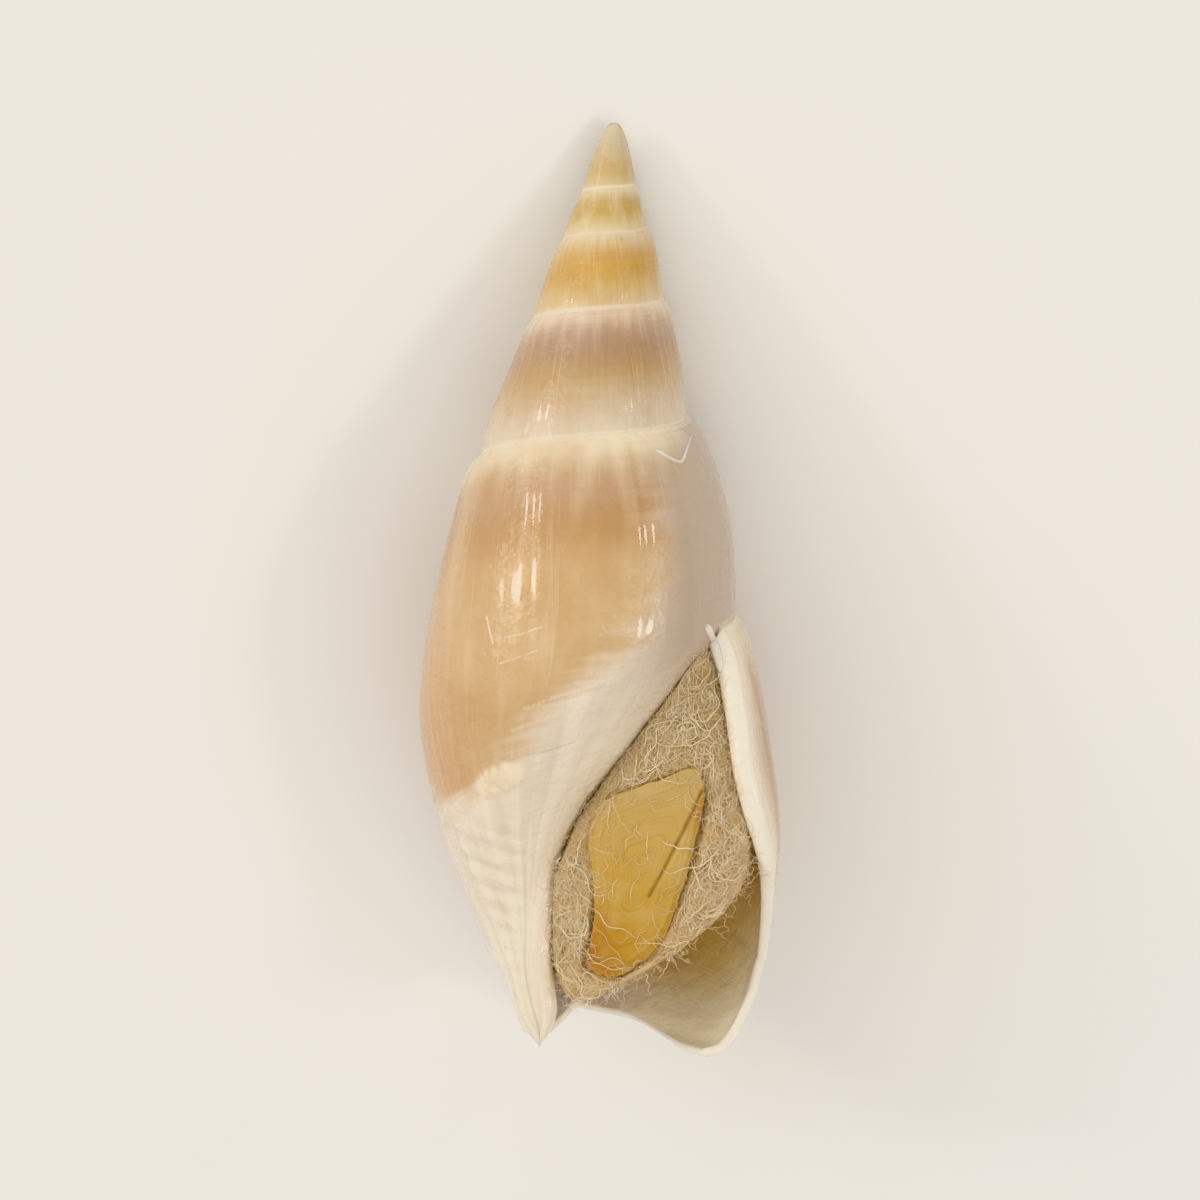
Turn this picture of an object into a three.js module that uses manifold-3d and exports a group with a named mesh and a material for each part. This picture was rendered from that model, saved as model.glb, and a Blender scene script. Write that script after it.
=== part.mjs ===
// A plough shell, Bullia natalensis, lying on its back with its mouth up. A wad of cotton is packed in the mouth,
// and the operculum, the horny lid of the animal, lies on the cotton. +Y is the apex end and +Z is up.
//
// The shell is one strip that winds about an axis. A place on it has a turn, which is 0 on the right-hand side of
// the finished lip and -1 one whorl earlier, and a place along the profile, which runs from the suture (0) past
// the next suture (3) to the front tip (10). Heights are millimetres down the axis from the apex.
import * as THREE from "three";
import { mergeVertices } from "three/addons/utils/BufferGeometryUtils.js";
import Module from "manifold-3d";

// Driving dimensions, in millimetres and turns.
const shellLength = 50.06;
const whorlGrowth = 1.68; // how much a suture's height grows in each turn
const sutureHeight = 25.1; // of the last suture, at turn 0
const sutureSway = 0.035; // the sutures sit a little lower on the right than on the left
const spireSlope = 0.3;
const spireSwell = 0.42; // the spire is this much wider than a plain cone, but for its tip
const apexBlend = 3;
const sutureWaist = 0.18; // the suture is drawn in by this much on the right-hand side above the last whorl
const waistWidth = 0.3; // in turns
const domeWaist = 0.62; // the first whorl is a dome, this much slimmer than a paraboloid at its top
const domeBend = 1.5;
const firstTurn = -5 - 1 / 14; // where the first whorl starts, at the apex
const lipTurn = 1 / 14; // the lip stands this far past the right-hand side
const tipTurn = -0.5; // where the free front edge starts, at the tip of the columella
const notchStart = -0.235;
const notchEnd = 0.045;
const deepTurn = -8 / 14; // how far back the hollow goes
const frontDelay = 0.1; // and how much less at its front
const blindEase = 0.12; // turns over which the hollow opens from its blind end
const backRound = 0.12; // the shares of the hollow over which its back and its front are rounded
const frontRound = 0.25;
const leastWall = 0.05;
const axisLean = 1.5; // the columella stands this far left of the spire's axis
const axisLeanSpan = [26, 43]; // between these heights
const axisReturn = 0.94; // and comes back by this much at its tip
const axisReturnSpan = [45, shellLength];
const lipWall = 0.9;
const frontWall = 0.5;
const frontWallSpan = [34, 46];
const lipThickening = 0.3; // the wall is this much thicker at its lip
const lipThickeningTurn = 0.1;
const lipThickeningSpan = [46, 36];
const lipDrawTurn = -0.2; // from here on the strip is drawn back along the lip's front half
const lipFrontTurn = -1 / 60; // where the lip ends at the front
const lipDrawSpan = [32, 49];
const notchDepth = 1.4; // of the siphonal notch, in steps of the profile
const notchRise = 0.05; // turns in which the notch begins
const notchFall = 0.16; // and ends
const notchBeard = 0.5; // of the step down between the columella's tip and the notch
const beardRise = 0.1;
const frontLag = 0.9; // how late the wall leaves the columella at the front end
const edgeBulge = 0.4; // how far a free edge is rounded out, as a share of its thickness
const apexPlace = [-0.25, 28, 0.9]; // where the apex is when the shell lies on the ground
const restPitch = -16; // degrees; the apex points this far down
// The worn flat that the shell lies on has four corners, at these places across and along the ground. Round it
// the wear rises slowly.
const wornCorners = [[-1.6, -2.4], [1.6, -2.4], [1.1, 10.4], [-1.1, 10.4]];
const wornSlope = 4; // degrees
const wornRise = 20; // taller than the shell as it lies
const cottonGap = 0.35; // between the cotton and what it touches
const cottonDeepTurn = -0.3;
const cottonMouthTurn = 0.055;
const cottonBackShare = 0.14; // of the hollow, where the cotton starts
const cottonFrontShare = 1; // where it ends beside the columella
const cottonLipShare = 0.6; // and at the lip
const cottonBulge = 1.1;
const cottonRoundness = 0.6; // 1 gives it an oval section, and 0 a square one
const operculumThickness = 0.4;
const operculumCentre = [40.2, 4.3, 3.3]; // height, place across and place out of the mouth
const operculumTilt = [0.2, -0.17]; // across and down
const operculumBend = [-0.02, -0.012];

// The lower half of the profile at six turns, as height and distance from the axis. The first of the eight
// points is where the next whorl would start, and the last is the front end.
const profiles = [
  {
    turn: -2,
    points: [[15.4, 5.2], [18, 4.6], [22, 3], [27, 1.6], [32.5, 1.2], [38, 1.05], [44.5, 1], [shellLength, 0]],
  },
  {
    turn: -1.5,
    points: [[18.69, 6.16], [21.5, 5.5], [25, 4], [29, 2.4], [33.5, 1.6], [38.5, 1], [44.5, 0.5], [shellLength, 0]],
  },
  {
    turn: -1,
    points: [[25.98, 8.22], [28.4, 7.4], [31.4, 5.4], [35, 3], [39, 1.4], [43.5, 1.3], [47.8, 1.16], [shellLength, 0]],
  },
  {
    turn: -0.5,
    points: [
      [31.4, 7.9], [34.8, 6.82], [38.3, 5.02], [41.2, 3.28], [43.8, 1.78], [46.2, 0.95], [48.4, 0.8], [shellLength, 0],
    ],
  },
  {
    turn: 0,
    points: [
      [43.6, 12.84], [45, 12.71], [46.3, 12.5], [47.4, 12.03], [48.4, 11.42], [49.2, 10.8], [49.8, 10.15], [50.1, 9.35],
    ],
  },
  {
    turn: 0.5,
    points: [[50, 15], [51, 15], [51.5, 14.8], [52, 14.5], [52.5, 14], [52.8, 13.6], [53, 13], [53.2, 12.5]],
  },
];
const stationsPerTurn = 2;
// How far a whorl swells at its shoulder and at a third and two thirds of its side, as a share of its width at
// the suture.
const swells = [
  { turn: -4, shoulder: 0.055, upper: 0.05, lower: 0.04 },
  { turn: -3.5, shoulder: 0.05, upper: 0.02, lower: 0.03 },
  { turn: -3, shoulder: 0.085, upper: 0.1, lower: 0.09 },
  { turn: -2.5, shoulder: 0.055, upper: 0.04, lower: 0.045 },
  { turn: -2, shoulder: 0.09, upper: 0.065, lower: 0.085 },
  { turn: -1.5, shoulder: 0.055, upper: 0.04, lower: 0.085 },
  { turn: -1, shoulder: 0.12, upper: 0.165, lower: 0.16 },
  { turn: -0.5, shoulder: 0.1, upper: 0.085, lower: 0.115 },
  { turn: 0, shoulder: 0.06, upper: 0.11, lower: 0.165 },
  { turn: 0.5, shoulder: 0.06, upper: 0.09, lower: 0.155 },
];
const shoulderReach = 0.04; // of the shoulder, as a share of the whorl's side
// The operculum's outline as height and place across, clockwise from its upper left corner.
const operculumOutline = [
  [36.56, 2.02], [35.4, 4.3], [34.5, 6.47], [34.9, 7.15], [35.9, 7.3], [37.8, 7.1], [39.47, 6.8], [41.6, 6.35],
  [43.61, 5.7], [45.1, 4.6], [45.9, 3.4], [46, 2.4], [45.5, 1.7], [44.4, 1.7], [42.6, 1.9], [40.6, 1.6],
  [38.8, 1.3], [37.4, 1.5],
];

// The grid: columns round the axis in each turn, and rows along the profile. Rows crowd towards the suture, and
// beside the lip most of them are on the tall whorl side.
const columns = 42;
const rows = 24;
const rowCrowding = 1.6;
const lipRowCrowding = 1.3;
const lipSideShare = 0.73;
const sutureRow = 6; // the next whorl starts on this row
const edgeSteps = 3; // across the thickness of a free edge
const cornerRow = sutureRow + edgeSteps; // the hollow starts on this row
const canalRow = rows - edgeSteps; // and ends on this one
const cornerPlace = 3.4;
const canalPlace = 9.2;
const slopeStep = 0.05; // along the profile, to find its direction
const cottonColumns = 32;
const cottonRows = 8;
const operculumColumns = 36;
const operculumRings = 4;

const mix = (a, b, share) => a + (b - a) * share;
const clamp01 = (x) => Math.min(1, Math.max(0, x));
const smooth = (x) => clamp01(x) ** 2 * (3 - 2 * clamp01(x));
const rise = (x, [from, to]) => smooth((x - from) / (to - from));

// A Catmull-Rom curve through a, b, c and d, at a share of the way from b to c.
function curve(a, b, c, d, s) {
  return b + 0.5 * s * (c - a + s * (2 * a - 5 * b + 4 * c - d + s * (3 * (b - c) + d - a)));
}

// A value that a list of stations gives at half turns, at any turn between them. With a lag, the last half turn
// before the lip changes late.
function atTurn(stations, turn, read, lag = 0) {
  const place = Math.min(stations.length - 1.001, Math.max(0, (turn - stations[0].turn) * stationsPerTurn));
  const i = Math.floor(place);
  const at = (k) => read(stations[Math.min(stations.length - 1, Math.max(0, k))]);
  let share = place - i;
  if (stations[i].turn === tipTurn) share *= 1 - lag * (1 - share) ** 2;
  return curve(at(i - 1), at(i), at(i + 1), at(i + 2), share);
}

function suture(turn) {
  const height = sutureHeight * whorlGrowth ** turn * (1 + sutureSway * Math.cos(2 * Math.PI * turn));
  const waist = sutureWaist * Math.exp(-(((turn + 1) / waistWidth) ** 2));
  return [height, spireSlope * height + spireSwell * Math.tanh(height / apexBlend) - waist];
}

// The eleven points of the profile at a turn.
function profileAt(turn) {
  const protoconch = turn < firstTurn + 1;
  const [topHeight, topRadius] = protoconch ? [0, 0] : suture(turn);
  const read = (k, axis) => atTurn(profiles, turn, (s) => s.points[k][axis], frontLag * rise(k, [2, 7]));
  const [lowHeight, lowRadius] = turn > -1 ? [read(0, 0), read(0, 1)] : suture(turn + 1);
  const sides = [0, atTurn(swells, turn, (s) => s.upper), atTurn(swells, turn, (s) => s.lower)];
  const points = sides.map((side, k) => [
    mix(topHeight, lowHeight, k / 3),
    mix(topRadius, lowRadius, k / 3) + side * topRadius,
  ]);
  points.push([lowHeight, lowRadius]);
  for (let k = 1; k < 8; k++) points.push([read(k, 0), read(k, 1)]);
  return points;
}

// Height and distance from the axis at a place along the profile.
function onProfile(turn, place) {
  const points = profileAt(turn);
  const i = Math.min(9, Math.floor(place));
  const value = (axis) => {
    const at = (k) => (k < 0 ? 2 * points[0][axis] - points[1][axis] : points[Math.min(10, k)][axis]);
    return curve(at(i - 1), at(i), at(i + 1), at(i + 2), place - i);
  };
  const v = Math.min(1, place / 3);
  const shoulder = atTurn(swells, turn, (s) => s.shoulder) * (1 - Math.exp(-v / shoulderReach)) * (1 - v) ** 2;
  if (turn < firstTurn + 1) {
    // the blunt first whorl, a dome from the apex down to the first suture
    const [height, radius] = points[3];
    return [height * v ** domeBend, radius * Math.sqrt(v) * mix(domeWaist, 1, v)];
  }
  return [value(0), Math.max(0, value(1) + shoulder * points[0][1])];
}

const axisShift = (height) =>
  axisReturn * rise(height, axisReturnSpan) - axisLean * rise(height, axisLeanSpan);

// A point of the shell's own frame: across, up the axis from the apex, and out of the mouth.
function toPoint(turn, height, radius) {
  const angle = 2 * Math.PI * turn;
  return new THREE.Vector3(
    axisShift(height) + radius * Math.cos(angle),
    -height,
    radius * Math.sin(angle),
  );
}

// The place along the profile of a row.
function rowPlace(turn, row) {
  let fixed;
  if (row <= sutureRow) fixed = 3 * (row / sutureRow) ** rowCrowding;
  else if (row <= cornerRow) fixed = mix(3, cornerPlace, (row - sutureRow) / edgeSteps);
  else if (row <= canalRow) fixed = mix(cornerPlace, canalPlace, (row - cornerRow) / (canalRow - cornerRow));
  else fixed = mix(canalPlace, 10, (row - canalRow) / edgeSteps);
  const knee = mix(sutureRow / rows, lipSideShare, smooth(turn + 1));
  const share = row / rows;
  const beard = notchBeard * smooth((turn - tipTurn) / beardRise);
  const notch = (beard + notchDepth * smooth((turn - notchStart) / notchRise)) * smooth((notchEnd - turn) / notchFall);
  const below = mix(3, 10 - notch, (share - knee) / (1 - knee));
  const even = share < knee ? 3 * (share / knee) ** lipRowCrowding : below;
  return mix(fixed, even, rise(turn, [lipTurn - 1, tipTurn]));
}

// The lip runs back towards the front end, so the last columns are drawn back with it.
function turnAt(column, place) {
  const turn = column / columns;
  if (turn <= lipDrawTurn) return turn;
  const [height] = onProfile(0, place);
  const end = mix(lipTurn, lipFrontTurn, rise(height, lipDrawSpan));
  return mix(lipDrawTurn, end, (turn - lipDrawTurn) / (lipTurn - lipDrawTurn));
}

function wallAt(turn, height) {
  const lip = rise(turn, [lipTurn - lipThickeningTurn, lipTurn]) * rise(height, lipThickeningSpan);
  return mix(lipWall, frontWall, rise(height, frontWallSpan)) + lipThickening * lip;
}

// A point of the outside of the shell.
function outside(column, row) {
  const place = rowPlace(column / columns, row);
  const turn = turnAt(column, place);
  return toPoint(turn, ...onProfile(turn, place));
}

// The hollow between two whorls: at each turn it lies between a point of the inner whorl and one on the inside
// of the wall, at a share of the way from its back corner to its front.
function innerWhorl(turn, share) {
  const row = mix(cornerRow, canalRow, share);
  return onProfile(turn - 1, rowPlace(turn - 1, row));
}

function wallInside(turn, place) {
  const before = onProfile(turn, Math.max(0, place - slopeStep));
  const after = onProfile(turn, Math.min(10, place + slopeStep));
  const [height, radius] = onProfile(turn, place);
  const along = Math.hypot(after[0] - before[0], after[1] - before[1]);
  const wall = wallAt(turn, height);
  return [height + (wall * (after[1] - before[1])) / along, radius - (wall * (after[0] - before[0])) / along];
}

function inside(column, row) {
  const place = rowPlace(column / columns, row);
  const turn = turnAt(column, place);
  const share = row / rows;
  const [height, radius] = wallInside(turn, place);
  const [innerHeight, innerRadius] = innerWhorl(turn, share);
  const late = turn + frontDelay * share ** 2 * (1 - smooth((turn - deepTurn) / blindEase));
  const open = smooth((turn - tipTurn) / blindEase);
  const top = Math.sin((Math.PI / 2) * Math.min(1, share / backRound));
  const bottom = mix(Math.sin((Math.PI / 2) * Math.min(1, (1 - share) / frontRound)), 1, open);
  const wallRadius = Math.max(radius, innerRadius + leastWall);
  return toPoint(late, mix(innerHeight, height, top * bottom), mix(innerRadius, wallRadius, top * bottom));
}

// Collects points by name, so that faces that meet share them.
class Skin {
  constructor() {
    this.positions = [];
    this.faces = [];
    this.names = new Map();
  }
  point(name, make) {
    if (!this.names.has(name)) {
      this.names.set(name, this.positions.length / 3);
      this.positions.push(...make().toArray());
    }
    return this.names.get(name);
  }
  at(index) {
    return new THREE.Vector3().fromArray(this.positions, 3 * index);
  }
  quad(a, b, c, d) {
    for (const [p, q, r] of [[a, b, c], [a, c, d]]) if (p !== q && q !== r && r !== p) this.faces.push(p, q, r);
  }
  geometry() {
    return new THREE.BufferGeometry()
      .setAttribute("position", new THREE.Float32BufferAttribute(this.positions, 3))
      .setIndex(this.faces);
  }
}

function shellGeometry() {
  const skin = new Skin();
  const first = Math.round(firstTurn * columns);
  const lip = Math.round(lipTurn * columns);
  const tip = Math.round(tipTurn * columns);
  const deep = Math.round(deepTurn * columns);

  const outer = (i, j) => {
    if (j === 0 && i < first + columns) return skin.point("apex", () => toPoint(0, 0, 0));
    if (j === 0) return outer(i - columns, sutureRow);
    if (j === rows && i <= tip) return skin.point("tip", () => toPoint(0, shellLength, 0));
    return skin.point("o" + i + "," + j, () => outside(i, j));
  };
  const inner = (i, k) => {
    if (k === 0) return outer(i - columns, cornerRow);
    if (k === rows && i <= tip) return outer(i - columns, canalRow);
    return skin.point("i" + i + "," + k, () => inside(i, k));
  };
  // a rounded edge between an outer and an inner point, at step q of its thickness
  const edge = (i, j, q) => {
    if (q === 0) return outer(i, j);
    if (q === edgeSteps) return inner(i, j);
    if (j === 0) return outer(i - columns, sutureRow + q);
    if (i === tip) return outer(i - columns, rows - q);
    return skin.point("e" + i + "," + j + "," + q, () => {
      const a = skin.at(outer(i, j));
      const b = skin.at(inner(i, j));
      const out = new THREE.Vector3();
      if (i === lip) out.add(a.clone().sub(skin.at(outer(i - 1, j))).normalize());
      if (j === rows) out.add(a.clone().sub(skin.at(outer(i, j - 1))).normalize());
      const angle = (Math.PI * q) / edgeSteps;
      const bulge = edgeBulge * a.distanceTo(b) * smooth((i / columns - tipTurn) / blindEase);
      return a.clone().lerp(b, (1 - Math.cos(angle)) / 2).addScaledVector(out.normalize(), bulge * Math.sin(angle));
    });
  };

  for (let i = first; i < lip; i++) {
    for (let j = 0; j < rows; j++) {
      const spire = i < lip - columns;
      const hidden = spire && j >= sutureRow && j < cornerRow;
      const tooDeep = spire && j >= cornerRow && (i < deep - columns || (i < tip - columns && j >= canalRow));
      if (hidden || tooDeep) continue;
      if (i === first + columns - 1 && j < sutureRow) continue;
      skin.quad(outer(i, j), outer(i + 1, j), outer(i + 1, j + 1), outer(i, j + 1));
    }
  }
  // the first whorl closes on its own start
  const seam = [];
  for (let j = 0; j <= sutureRow; j++) seam.push(outer(first, j));
  for (let j = 1; j <= sutureRow; j++) seam.push(outer(first + columns, j));
  for (let j = 0; j < sutureRow; j++) {
    const a = outer(first + columns - 1, j);
    const b = outer(first + columns - 1, j + 1);
    skin.quad(a, seam[2 * j], seam[2 * j + 1], b);
    skin.quad(b, seam[2 * j + 1], seam[2 * j + 2], b);
  }
  for (let i = deep; i < lip; i++)
    for (let k = 0; k < rows; k++)
      skin.quad(inner(i, k), inner(i, k + 1), inner(i + 1, k + 1), inner(i + 1, k));
  for (let q = 0; q < edgeSteps; q++) {
    for (let j = 0; j < rows; j++)
      skin.quad(edge(lip, j, q), edge(lip, j, q + 1), edge(lip, j + 1, q + 1), edge(lip, j + 1, q));
    for (let i = tip; i < lip; i++)
      skin.quad(edge(i, rows, q), edge(i + 1, rows, q), edge(i + 1, rows, q + 1), edge(i, rows, q + 1));
  }
  // the blind end of the hollow
  const loop = [];
  for (let k = 0; k < rows; k++) loop.push(inner(deep, k));
  for (let j = canalRow; j > cornerRow; j--) loop.push(outer(deep - columns, j));
  const centre = skin.point("deep", () =>
    loop.reduce((sum, k) => sum.add(skin.at(k)), new THREE.Vector3()).divideScalar(loop.length),
  );
  loop.forEach((a, k) => skin.quad(centre, loop[(k + 1) % loop.length], a, centre));
  return skin.geometry();
}

// The operculum's underside, as a height out of the mouth.
function operculumUnder(x, height) {
  const across = x - operculumCentre[1];
  const down = height - operculumCentre[0];
  const level = operculumCentre[2] + operculumTilt[0] * across + operculumTilt[1] * down;
  return level + operculumBend[0] * across ** 2 + operculumBend[1] * down ** 2;
}

// A place in the hollow: a share of the way to its front, and a depth from the inner whorl (0) to the wall (1),
// both kept off the shell by the gap.
function hollowPoint(turn, share, depth) {
  const inner = innerWhorl(turn, share);
  const outer = wallInside(turn, rowPlace(turn, share * rows));
  const gap = cottonGap / Math.hypot(outer[0] - inner[0], outer[1] - inner[1]);
  const d = mix(gap, 1 - gap, depth);
  return toPoint(turn, mix(inner[0], outer[0], d), mix(inner[1], outer[1], d));
}

// The wad is swept along the hollow, with a domed end in the mouth and a blunt one deep in the shell.
function cottonGeometry() {
  const skin = new Skin();
  // u runs from -1 at the middle of the blunt end, by 0 and 1 at the ends of the side, to 2 at the dome's middle
  const point = (u, v) => {
    const side = Math.min(1, Math.max(0, u));
    const spread = u < 0 ? 1 + u : u > 1 ? 2 - u : 1;
    const angle = (2 * Math.PI * v) / cottonColumns;
    const round = (x) => Math.sign(x) * Math.abs(x) ** cottonRoundness;
    const depth = 0.5 + 0.5 * spread * round(Math.cos(angle));
    const low = mix(cottonFrontShare, cottonLipShare, depth);
    const share = mix(cottonBackShare, low, 0.5 + 0.5 * spread * round(Math.sin(angle)));
    const turn = mix(cottonDeepTurn, cottonMouthTurn, side);
    const place = hollowPoint(turn, share, depth);
    if (u > 1) {
      place.z += cottonBulge * Math.sqrt(1 - spread ** 2);
      place.z = Math.min(place.z, operculumUnder(place.x, -place.y) - cottonGap);
    }
    return place;
  };
  const at = (i, v) => {
    const u = i / cottonRows;
    if (i === -cottonRows || i === 2 * cottonRows) return skin.point("pole" + i, () => point(u, 0));
    return skin.point(i + "," + (v % cottonColumns), () => point(u, v % cottonColumns));
  };
  for (let i = -cottonRows; i < 2 * cottonRows; i++)
    for (let v = 0; v < cottonColumns; v++) skin.quad(at(i, v), at(i + 1, v), at(i + 1, v + 1), at(i, v + 1));
  return skin.geometry();
}

// A thin plate, bent to lie on the cotton.
function operculumGeometry() {
  const skin = new Skin();
  const corners = operculumOutline.map(([height, x]) => new THREE.Vector3(x, -height, 0));
  const rim = new THREE.CatmullRomCurve3(corners, true).getPoints(operculumColumns).slice(0, -1);
  const centre = new THREE.Vector3(operculumCentre[1], -operculumCentre[0], 0);
  const at = (ring, v, side) => {
    const name = ring === 0 ? "centre" + side : ring + "," + (v % operculumColumns) + "," + side;
    return skin.point(name, () => {
      const place = centre.clone().lerp(rim[v % operculumColumns], ring / operculumRings);
      place.z = operculumUnder(place.x, -place.y) + side * operculumThickness;
      return place;
    });
  };
  for (let v = 0; v < operculumColumns; v++) {
    for (let ring = 0; ring < operculumRings; ring++) {
      skin.quad(at(ring, v, 1), at(ring, v + 1, 1), at(ring + 1, v + 1, 1), at(ring + 1, v, 1));
      skin.quad(at(ring, v, 0), at(ring + 1, v, 0), at(ring + 1, v + 1, 0), at(ring, v + 1, 0));
    }
    const edge = operculumRings;
    skin.quad(at(edge, v, 1), at(edge, v + 1, 1), at(edge, v + 1, 0), at(edge, v, 0));
  }
  return skin.geometry();
}

const wasm = await Module();
wasm.setup();

function toSolid(geometry) {
  for (const name of ["normal", "uv"]) geometry.deleteAttribute(name);
  const merged = mergeVertices(geometry);
  const vertProperties = merged.attributes.position.array;
  const triVerts = new Uint32Array(merged.index.array);
  return new wasm.Manifold(new wasm.Mesh({ numProp: 3, vertProperties, triVerts }));
}

// Lays a piece on its back, with the apex at its place.
function laidDown(geometry) {
  return geometry.rotateX(THREE.MathUtils.degToRad(restPitch)).translate(...apexPlace);
}

// What the ground has left of the space above it: the worn flat, and sides that rise from its edges.
function wornSpace() {
  const corners = wornCorners.map(([x, y]) => new THREE.Vector2(x, y));
  const outward = corners.map((corner, k) => {
    const along = corners[(k + 1) % corners.length].clone().sub(corner).normalize();
    return new THREE.Vector2(along.y, -along.x);
  });
  const reach = wornRise / Math.tan(THREE.MathUtils.degToRad(wornSlope));
  const above = corners.map((corner, k) => {
    const before = outward[(k + corners.length - 1) % corners.length];
    const both = before.clone().add(outward[k]);
    return corner.clone().addScaledVector(both, reach / (1 + before.dot(outward[k])));
  });
  const skin = new Skin();
  const ring = (name, places, z) => places.map(({ x, y }, k) => skin.point(name + k, () => new THREE.Vector3(x, y, z)));
  const low = ring("low", corners, 0);
  const high = ring("high", above, wornRise);
  skin.quad(low[3], low[2], low[1], low[0]);
  skin.quad(high[0], high[1], high[2], high[3]);
  for (let k = 0; k < corners.length; k++) {
    const next = (k + 1) % corners.length;
    skin.quad(low[k], low[next], high[next], high[k]);
  }
  return skin.geometry();
}

// The shell is worn flat where it lies on the ground.
function wornFlat(geometry) {
  const { vertProperties, triVerts } = toSolid(geometry).intersect(toSolid(wornSpace())).getMesh();
  return new THREE.BufferGeometry()
    .setAttribute("position", new THREE.Float32BufferAttribute(vertProperties, 3))
    .setIndex(Array.from(triVerts));
}

const specimen = new THREE.Group();

function addPiece(name, geometry, color, roughness) {
  const piece = new THREE.Mesh(geometry, new THREE.MeshStandardMaterial({ color, roughness, metalness: 0 }));
  piece.name = name;
  specimen.add(piece);
}

addPiece("shell", wornFlat(laidDown(shellGeometry())), 0xe3c9a0, 0.2);
addPiece("cotton_wad", laidDown(cottonGeometry()), 0xcdbb98, 0.95);
addPiece("operculum", laidDown(operculumGeometry()), 0xb98a2c, 0.45);

export default specimen;
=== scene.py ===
import math

import bpy
import numpy as np
from mathutils import Matrix, Vector, noise
from mathutils.bvhtree import BVHTree


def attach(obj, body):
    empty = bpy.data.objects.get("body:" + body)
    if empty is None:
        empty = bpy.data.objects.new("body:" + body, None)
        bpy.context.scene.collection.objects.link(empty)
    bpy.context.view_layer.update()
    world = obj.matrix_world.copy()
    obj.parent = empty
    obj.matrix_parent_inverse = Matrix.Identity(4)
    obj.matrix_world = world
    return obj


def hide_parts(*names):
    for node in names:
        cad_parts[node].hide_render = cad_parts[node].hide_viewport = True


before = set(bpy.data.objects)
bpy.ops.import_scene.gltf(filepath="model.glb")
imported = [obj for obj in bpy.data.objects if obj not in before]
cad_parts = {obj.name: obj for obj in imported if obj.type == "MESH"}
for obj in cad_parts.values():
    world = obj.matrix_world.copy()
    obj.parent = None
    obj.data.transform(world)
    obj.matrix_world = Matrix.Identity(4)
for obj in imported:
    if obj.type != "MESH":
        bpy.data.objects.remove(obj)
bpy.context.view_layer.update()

print("frame loaded")

# The shell's own frame is in millimetres: x across, y up the axis with the apex at 0, z out of the mouth.
# A height is a distance down the axis from the apex. Here is how that frame lies on the ground.
pose = {
    "apexPlace": (-0.25, 28, 0.9),
    "pitch": -16,              # degrees, the apex points this far down
    "photoTurn": 4,            # degrees, the shell leans this far in the picture
    "metre": 0.001,            # metres in a millimetre
}

# The worn flat on the back: its corners across and along the ground, and how steeply the wear rises round it.
worn = {
    "corners": ((-1.6, -2.4), (1.6, -2.4), (1.1, 10.4), (-1.1, 10.4)),
    "slope": 4,
}


def mix(a, b, share):
    return a + (b - a) * share


def smooth(x):
    x = np.clip(x, 0, 1)
    return x * x * (3 - 2 * x)


# 0 at low and 1 at high, with a smooth rise between them
def ease(x, low, high):
    return smooth((x - low) / (high - low))


# a smooth curve from b to c, with a before and d after them
def curve(a, b, c, d, s):
    return b + 0.5 * s * (c - a + s * (2 * a - 5 * b + 4 * c - d + s * (3 * (b - c) + d - a)))


def unit(vectors):
    return vectors / np.maximum(np.linalg.norm(vectors, axis=-1, keepdims=True), 1e-12)


# from the shell's frame to the row frame, in metres
def layDown(points, wear=False):
    pitch = math.radians(pose["pitch"])
    x, y, z = points[..., 0], points[..., 1], points[..., 2]
    laid = np.stack([
        x + pose["apexPlace"][0],
        y * math.cos(pitch) - z * math.sin(pitch) + pose["apexPlace"][1],
        y * math.sin(pitch) + z * math.cos(pitch) + pose["apexPlace"][2],
    ], axis=-1)
    if wear:
        laid[..., 2] = np.maximum(laid[..., 2], wornHeight(laid[..., 0], laid[..., 1]))
    return laid * pose["metre"]


# a piece's points in the shell's frame
def inShellFrame(piece):
    points = np.empty(len(piece.data.vertices) * 3, np.float32)
    piece.data.vertices.foreach_get("co", points)
    points = points.reshape(-1, 3).astype(float) / pose["metre"] - np.array(pose["apexPlace"])
    pitch = math.radians(pose["pitch"])
    y, z = points[:, 1], points[:, 2]
    return np.stack([
        points[:, 0],
        y * math.cos(pitch) + z * math.sin(pitch),
        -y * math.sin(pitch) + z * math.cos(pitch),
    ], axis=-1)


# a piece's faces in the shell's frame, for finding what lies at a place
def treeOf(piece):
    faces = [tuple(polygon.vertices) for polygon in piece.data.polygons]
    return BVHTree.FromPolygons(inShellFrame(piece).tolist(), faces)


# where something that comes down at a place meets them
def meet(tree, x, y):
    return tree.ray_cast(Vector((x, y, 40)), Vector((0, 0, -1)))[0]


# what is lower than this is worn away: 0 in the flat, and rising round it
def wornHeight(x, y):
    corners = np.array(worn["corners"], float)
    outside = np.zeros_like(x)
    for corner, after in zip(corners, np.roll(corners, -1, axis=0)):
        along = (after - corner) / np.linalg.norm(after - corner)
        outside = np.maximum(outside, (x - corner[0]) * along[1] - (y - corner[1]) * along[0])
    return outside * math.tan(math.radians(worn["slope"]))


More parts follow.
